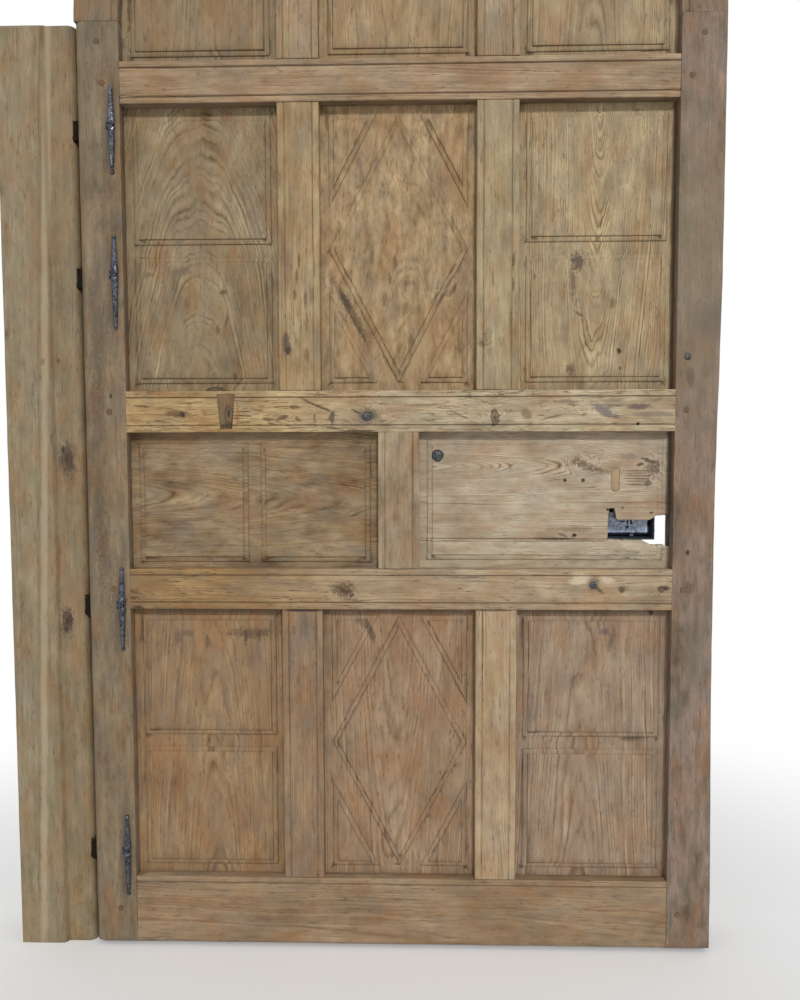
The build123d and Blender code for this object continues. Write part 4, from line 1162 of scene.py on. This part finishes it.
    def lock_panels(self) -> list[Board]:
        """The row of the lock, with the let-in patches and the broken boards.

        Returns:
            The left panel, the two boards and the two patches.
        """
        up, level = Grain.UPRIGHT, Grain.LEVEL
        lock_board_knots = (Knot(407.3, 789.1, 14, 18, 0.35), Knot(293.3, 793.6, 14, 8, 0.5))
        lock_board_marks = (
            Mark(265.2, 768, 6, 6, "#2f2118", 0.95, ragged=0.2),
            Mark(293.7, 768.1, 6, 7, "#3a2a1d", 0.9, ragged=0.2),
            Mark(280.8, 679.9, 7, 6, "#1f1612", 0.95, ragged=0.2), Mark(280, 690, 50, 10, "#7c6a54", 0.6),
            Mark(298, 792, 34, 12, "#655039", 0.6, 24, ragged=1.2),
            Mark(281, 800, 20, 8, "#5b4733", 0.6, -30, ragged=1.2),
            Mark(318, 785, 26, 6, "#655039", 0.6, 10, ragged=1),
            Mark(404, 788, 22, 24, "#57463a", 0.55, ragged=1.3), Mark(383, 793, 12, 5, "#3f3127", 0.8, -15),
            Mark(395, 800, 16, 5, "#3f3127", 0.7, 20, ragged=0.9), Mark(365, 806, 28, 10, "#7d6f66", 0.7),
            Mark(396, 763, 9, 14, "#57463b", 0.75, ragged=0.8),
            Mark(336.5, 695, 4, 46, "#1a1412", 0.9, ragged=0.8),
            # A painted shade along the right edge, where the lock stile's side lies in shadow.
            Mark(431.5, 750, 11, 400, "#2c2118", 0.75, ragged=0.05),
            Mark(379, 783, 40, 1.8, "#5f4c3b", ragged=0.3),
            Mark(380, 779, 38, 1.8, "#5f4c3b", 0.7, -2, ragged=0.3),
            Mark(381, 775, 40, 2.2, "#5f4c3b", ragged=0.3),
            Mark(382, 770.5, 42, 2.2, "#5f4c3b", 0.8, 1, ragged=0.3),
            Mark(380, 766.5, 40, 1.8, "#5f4c3b", 0.7, ragged=0.3),
            Mark(378, 761, 38, 2.6, "#5f4c3b", 0.7, 2, ragged=0.3),
            Mark(375, 750, 46, 2.2, "#7c6a58", 0.6, ragged=0.3),
            Mark(300, 668, 70, 8, "#7c6a54", 0.6, ragged=0.8), Mark(262, 680, 16, 4, "#5b4733", 0.7, 20),
            Mark(80, 800, 30, 10, "#8c7a63", 0.6, ragged=0.8), Mark(334, 721, 7, 5, "#2a1d15", 0.9),
            Mark(337, 674.5, 8, 6, "#241812", 0.9), Mark(357, 724, 5, 4, "#4a3a2c"),
            Mark(403, 716, 6, 3.5, "#3d2c1f"), Mark(185, 674.5, 310, 2.6, "#5a4836", 0.8, 0.2, ragged=0.2),
            Mark(250, 674.5, 60, 3.4, "#33271d"),
        )
        plug_marks = (
            Mark(-269, 873, 15, 32, "#4c3c2b", soft=0.5, ragged=0.2),
            Mark(-269, 873, 10, 22, "#776149", soft=0.5, ragged=0.2),
            Mark(-269, 875, 6, 13, "#3c3026", 0.9, soft=0.9, ragged=0.3),
            Mark(-269, 856, 26, 8, "#3a2d20", soft=1),
        )
        return [
            Board("lock_panel_left", Pine(
                "#6c583f", "#9d896a", level, (-240, 62, 736), (0.4, 5), ring=2.6, contrast=0.85, patch=1.5,
                mottle=0.75, grey=0.5, side_shade=0.3, seed=25,
            )),
            Board("lock_board_upper", Pine(
                "#8f7d65", "#c0b29b", level, (200, 30, 790), (0.2, 4), ring=1.8, contrast=1.35, streak=0.35,
                fleck=0.4, side_shade=0.3, knots=lock_board_knots, marks=lock_board_marks, seed=26,
            ), step=9, broken=Hole(330, 670, 430, 735)),
            Board("rail_patch", Pine(
                "#58452f", "#82694b", up, (-300, 60, 900), marks=plug_marks, seed=28,
            ), arris=1, wear=0.1),
            Board("panel_patch", Pine(
                "#9a876a", "#b8a687", up, (300, 60, 900), ring=2, seed=29,
            ), arris=1.2, wear=0.1),
            Board("lock_board_lower", Pine(
                "#958872", "#c5b99f", level, (120, 62, 640), (0.7, 2), ring=4, contrast=0.5, streak=0.35,
                fleck=0.4, crack=0.9, side_shade=0.3, seed=27,
            ), step=9, broken=Hole(326, 660, 430, 680, lift=2.6)),
        ]


@dataclass
class DoorFrame:
    """The posts and the arch that the leaf hangs in."""

    def members(self) -> list[Board]:
        """Lists the frame's members, the hinge post with its rubbed edge and a painted highlight on it, knots and
        marks.

        Returns:
            The two posts and the two halves of the arch.
        """
        up = Grain.UPRIGHT
        knots = (Knot(-535.4, 802.6, 18, 40, 0.4), Knot(-541.3, 538.5, 15, 34, 0.4))
        post_marks = (
            # A pale stripe down the rounded arris, partly its rubbed wood and partly a painted highlight, and a
            # painted shade beside it.
            Mark(-566, 876, 10, 4000, "#b9a98c", 0.38, 1.7, soft=1.2, ragged=0.1),
            Mark(-575, 876, 5, 4000, "#5c5140", 0.25, 1.7, soft=1.2, ragged=0.2),
            Mark(-567, 958, 7, 12, "#6a5a48", 0.6), Mark(-545, 960, 6, 9, "#4b3d30", 0.7),
            Mark(-535, 803, 25, 48, "#5a493c", 0.85, soft=1.1, ragged=0.9),
            Mark(-541, 538, 20, 40, "#5a493c", soft=1.1, ragged=0.9),
            Mark(-533, 800, 12, 26, "#372a24", 0.8, -10, soft=1, ragged=0.9),
            Mark(-539, 541, 10, 24, "#372a24", 0.8, 12, soft=1, ragged=0.9),
            Mark(-541, 818, 6, 14, "#3f3129", 0.75), Mark(-544, 526, 6, 12, "#3f3129", 0.75),
            Mark(-540, 1060, 14, 60, "#5f5444", 0.5), Mark(-530, 780, 18, 60, "#5b4f42", 0.4),
        )
        return [
            Board("hinge_post", Pine(
                "#766a50", "#988b71", up, (-640, 80, 700), (0.8, 0.5), ring=3.4, contrast=0.35, mottle=0.7,
                knots=knots, marks=post_marks, seed=31, far=("#73644a", "#948468"), drift=(-582, -556),
            ), arris=2),
            Board(
                "lock_post", Pine("#716349", "#928367", up, (560, 130, 700), (0.8, 0.5), ring=3.4, seed=32),
            ),
            Board("frame_arch_left", Pine(
                "#716349", "#928367", up, (-640, 130, 1600), (0.8, 9), ring=3.4, seed=33,
            )),
            Board("frame_arch_right", Pine(
                "#716349", "#928367", up, (640, 130, 1600), (0.8, -9), ring=3.4, seed=34,
            )),
        ]

    def build(self) -> None:
        """Builds the frame's four members."""
        for board in self.members():
            board.build()


@dataclass
class LockCap:
    """The pitted sheet inside the mouth of the lock, seen through the broken board, in leaf millimetres."""

    left: float = 295.5
    right: float = 405.0
    low: float = 681.5
    high: float = 765.5
    front: float = 48.6
    thick: float = 1.6
    step: float = 3.0
    swell: float = 9.0
    depth: float = 0.5
    sharp: float = 50.0
    seed: float = 5.5
    slots: tuple[tuple[float, float, float, float], ...] = (
        (371.5, 695.5, 374.5, 706.0), (377.0, 694.5, 380.0, 706.0), (370.0, 688.5, 375.0, 692.0),
        (361.0, 698.0, 369.0, 700.5), (340.0, 714.5, 360.0, 735.0),
    )

    def build(self, material: bpy.types.Material) -> None:
        """Cuts the sheet and its slots, and hammers it.

        Args:
            material: the sheet's iron.
        """
        form = bmesh.new()
        bmesh.ops.create_grid(form, x_segments=1, y_segments=1, size=0.5)
        size = Matrix.Diagonal(((self.right - self.left) * MM, (self.high - self.low) * MM, 1.0, 1.0))
        middle = spot((self.left + self.right) / 2, (self.low + self.high) / 2, self.front)
        form.transform(Matrix.Translation(middle) @ Matrix.Rotation(math.pi / 2, 4, "X") @ size)
        for left, low, right, high in self.slots:
            start, end = spot(left, low), spot(right, high)
            cut_across(form, X, [start.x, end.x])
            cut_across(form, Z, [start.z, end.z])
        slice_up(form, self.step * MM)
        cut = [f for f in form.faces if self.in_slot(f.calc_center_median())]
        bmesh.ops.delete(form, geom=cut, context="FACES")
        form.normal_update()
        bmesh.ops.solidify(form, geom=form.faces[:], thickness=self.thick * MM)
        bmesh.ops.recalc_face_normals(form, faces=form.faces)
        unsettle(form, self.swell * MM, self.depth * MM, self.seed)
        piece = finish_piece("lock_cap", form, material, self.sharp)
        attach(piece, BODIES["lock_case"])

    def in_slot(self, place: Vector) -> bool:
        """Tells whether a place lies in one of the slots.

        Args:
            place: the place, in metres.

        Returns:
            True in a slot.
        """
        ends = [(spot(left, low), spot(right, high)) for left, low, right, high in self.slots]
        return any(low.x < place.x < high.x and low.z < place.z < high.z for low, high in ends)


@dataclass
class Ironwork:
    """Hinges, lock and nails. The domed nail is hammered more deeply, in millimetres."""

    hinge: Iron = Iron("hinge", "#121317", "#6f737d", rough=(0.18, 0.5), metallic=0.9, rust=0.2, gap_shade_from=(-478, -470))
    lock: Iron = Iron("lock", "#3a4656", "#8d9aae", 6, 2.4, metallic=0, rust=0.6, shaded_walls="#2a323c", rim=(46.5, 52))
    nail: Iron = Iron("nail", "#17171a", "#5a5e64", metallic=0.4, rust=0.5)
    cap: Iron = Iron("lock_cap", "#6b84b0", "#e6efff", 5, 2, metallic=0, rust=0.15)
    dome_blow: float = 8.0
    dome_depth: float = 1.2

    def build(self) -> None:
        """Builds every forged piece."""
        finishes = {"forged_iron": self.hinge, "lock_iron": self.lock, "nail_iron": self.nail}
        materials = {slot: iron.material() for slot, iron in finishes.items()}
        for node, slot in SLOTS.items():
            if slot in materials:
                forging = Forging(node, rounds=1 if slot == "lock_iron" else 2)
                if node == "clavo":
                    forging.blow, forging.depth = self.dome_blow, self.dome_depth
                forging.build(materials[slot])
        LockCap().build(self.cap.material())


@dataclass
class SmallWood:
    """The pegs, which keep their CAD shapes."""

    peg: Pine = Pine("#4d3d2c", "#776148", heart=(0, 40, 900), ring=1.6, seed=41)

    def build(self) -> None:
        """Gives the pegs their finish."""
        material = self.peg.material("pegs")
        for node, slot in SLOTS.items():
            if slot == "peg_pine" and not node.endswith("_patch"):
                data = frame["nodes"][node].data
                data.materials.clear()
                data.materials.append(material)
                LOG.info("%s: as in the solids", node)


@dataclass
class Studio:
    """Camera, plain soft light and a pale floor.

    The camera stands in leaf millimetres and turns by radians; the floor is in metres, the sun in degrees.
    """

    camera_at: tuple[float, float, float] = (38.35, -1345.3, 821.7)
    yaw: float = -0.0268
    pitch: float = -0.0624
    roll: float = 0.0023
    lens: float = 30.6
    film: float = 36.0
    sun: float = 1.75
    sun_width: float = 9.0
    sun_height: float = 33.0
    sun_side: float = 12.0
    sky: float = 0.55
    floor_half: float = 6.0
    floor_grey: float = 0.92
    floor_squeeze: tuple[float, float, float] = (0.8, 1.0, 1.0)
    fade: tuple[float, float] = (0.5, 1.3)

    def camera(self) -> None:
        """Sets up the camera where the photographer stood."""
        data = bpy.data.cameras.new("camera")
        data.lens = self.lens
        data.sensor_fit = "VERTICAL"
        data.sensor_height = self.film
        seen = bpy.data.objects.new("camera", data)
        x, y, z = self.camera_at
        seen.location = spot(x, z, y)
        # A camera looks down its own -Z, so a quarter turn about X makes it look along +Y.
        turn = Matrix.Rotation(-self.yaw, 4, "Z") @ Matrix.Rotation(math.pi / 2 + self.pitch, 4, "X")
        seen.rotation_euler = (turn @ Matrix.Rotation(-self.roll, 4, "Z")).to_euler()
        bpy.context.scene.collection.objects.link(seen)
        bpy.context.scene.camera = seen

    def lamps(self) -> None:
        """Lights the door from above and a little to the right."""
        data = bpy.data.lights.new("key", "SUN")
        data.energy = self.sun
        data.angle = math.radians(self.sun_width)
        key = bpy.data.objects.new("key", data)
        aim = Vector((-math.tan(math.radians(self.sun_side)), 1.0, -math.tan(math.radians(self.sun_height))))
        key.rotation_euler = aim.to_track_quat("-Z", "Y").to_euler()
        bpy.context.scene.collection.objects.link(key)

    def white_for_eyes(self, tree: bpy.types.NodeTree) -> Socket:
        """Finds the rays that show the background: camera, mirror and glass rays.

        Args:
            tree: the material's or the world's tree.

        Returns:
            One for such a ray, and nought for the rest.
        """
        eyes = 0.0
        for ray in ("Is Camera Ray", "Is Glossy Ray", "Is Transmission Ray"):
            eyes = add(tree, "Math", (eyes, add(tree, "LightPath", output=ray)), operation="MAXIMUM")
        return eyes

    def world(self) -> None:
        """An even sky that shows as white."""
        world = bpy.data.worlds.new("sky")
        world.use_nodes = True
        tree = world.node_tree
        tree.nodes.clear()
        strength = add(tree, "MapRange", {0: self.white_for_eyes(tree), 3: self.sky, 4: 1.0})
        sky = add(tree, "Background", {"Color": (1.0, 1.0, 1.0, 1.0), "Strength": strength})
        add(tree, "OutputWorld", {"Surface": sky})
        bpy.context.scene.world = world

    def floor(self) -> None:
        """A matt, pale floor that keeps the door's shadow and fades into the white."""
        form = bmesh.new()
        bmesh.ops.create_grid(form, x_segments=1, y_segments=1, size=self.floor_half)
        mesh = bpy.data.meshes.new("floor")
        form.to_mesh(mesh)
        form.free()
        material, tree = new_material("pale_floor")
        away = add(tree, "TexCoord", output="Object")
        away = add(tree, "VectorMath", (away, self.floor_squeeze), operation="MULTIPLY")
        away = add(tree, "VectorMath", (away,), "Value", operation="LENGTH")
        fade = add(tree, "MapRange", (away, *self.fade), interpolation_type="SMOOTHSTEP")
        fade = add(tree, "Math", (fade, self.white_for_eyes(tree)), operation="MULTIPLY")
        matt = add(tree, "BsdfDiffuse", {"Color": (self.floor_grey, self.floor_grey, self.floor_grey, 1.0)})
        white = add(tree, "Emission", {"Color": (1.0, 1.0, 1.0, 1.0), "Strength": 1.0})
        add(tree, "OutputMaterial", {"Surface": add(tree, "MixShader", (fade, matt, white))})
        mesh.materials.append(material)
        ground = bpy.data.objects.new("floor", mesh)
        bpy.context.scene.collection.objects.link(ground)

    def build(self) -> None:
        """Sets the stage."""
        self.camera()
        self.lamps()
        self.world()
        self.floor()
        bpy.context.scene.view_settings.view_transform = "Standard"


def main() -> None:
    """Builds the dressed door and its stage."""
    logging.basicConfig(level=logging.INFO, format="%(message)s")
    Studio().build()
    for assembly in (Leaf(), DoorFrame(), Ironwork(), SmallWood()):
        assembly.build()
        LOG.info("%s done", type(assembly).__name__)


if __name__ == "__main__":
    main()
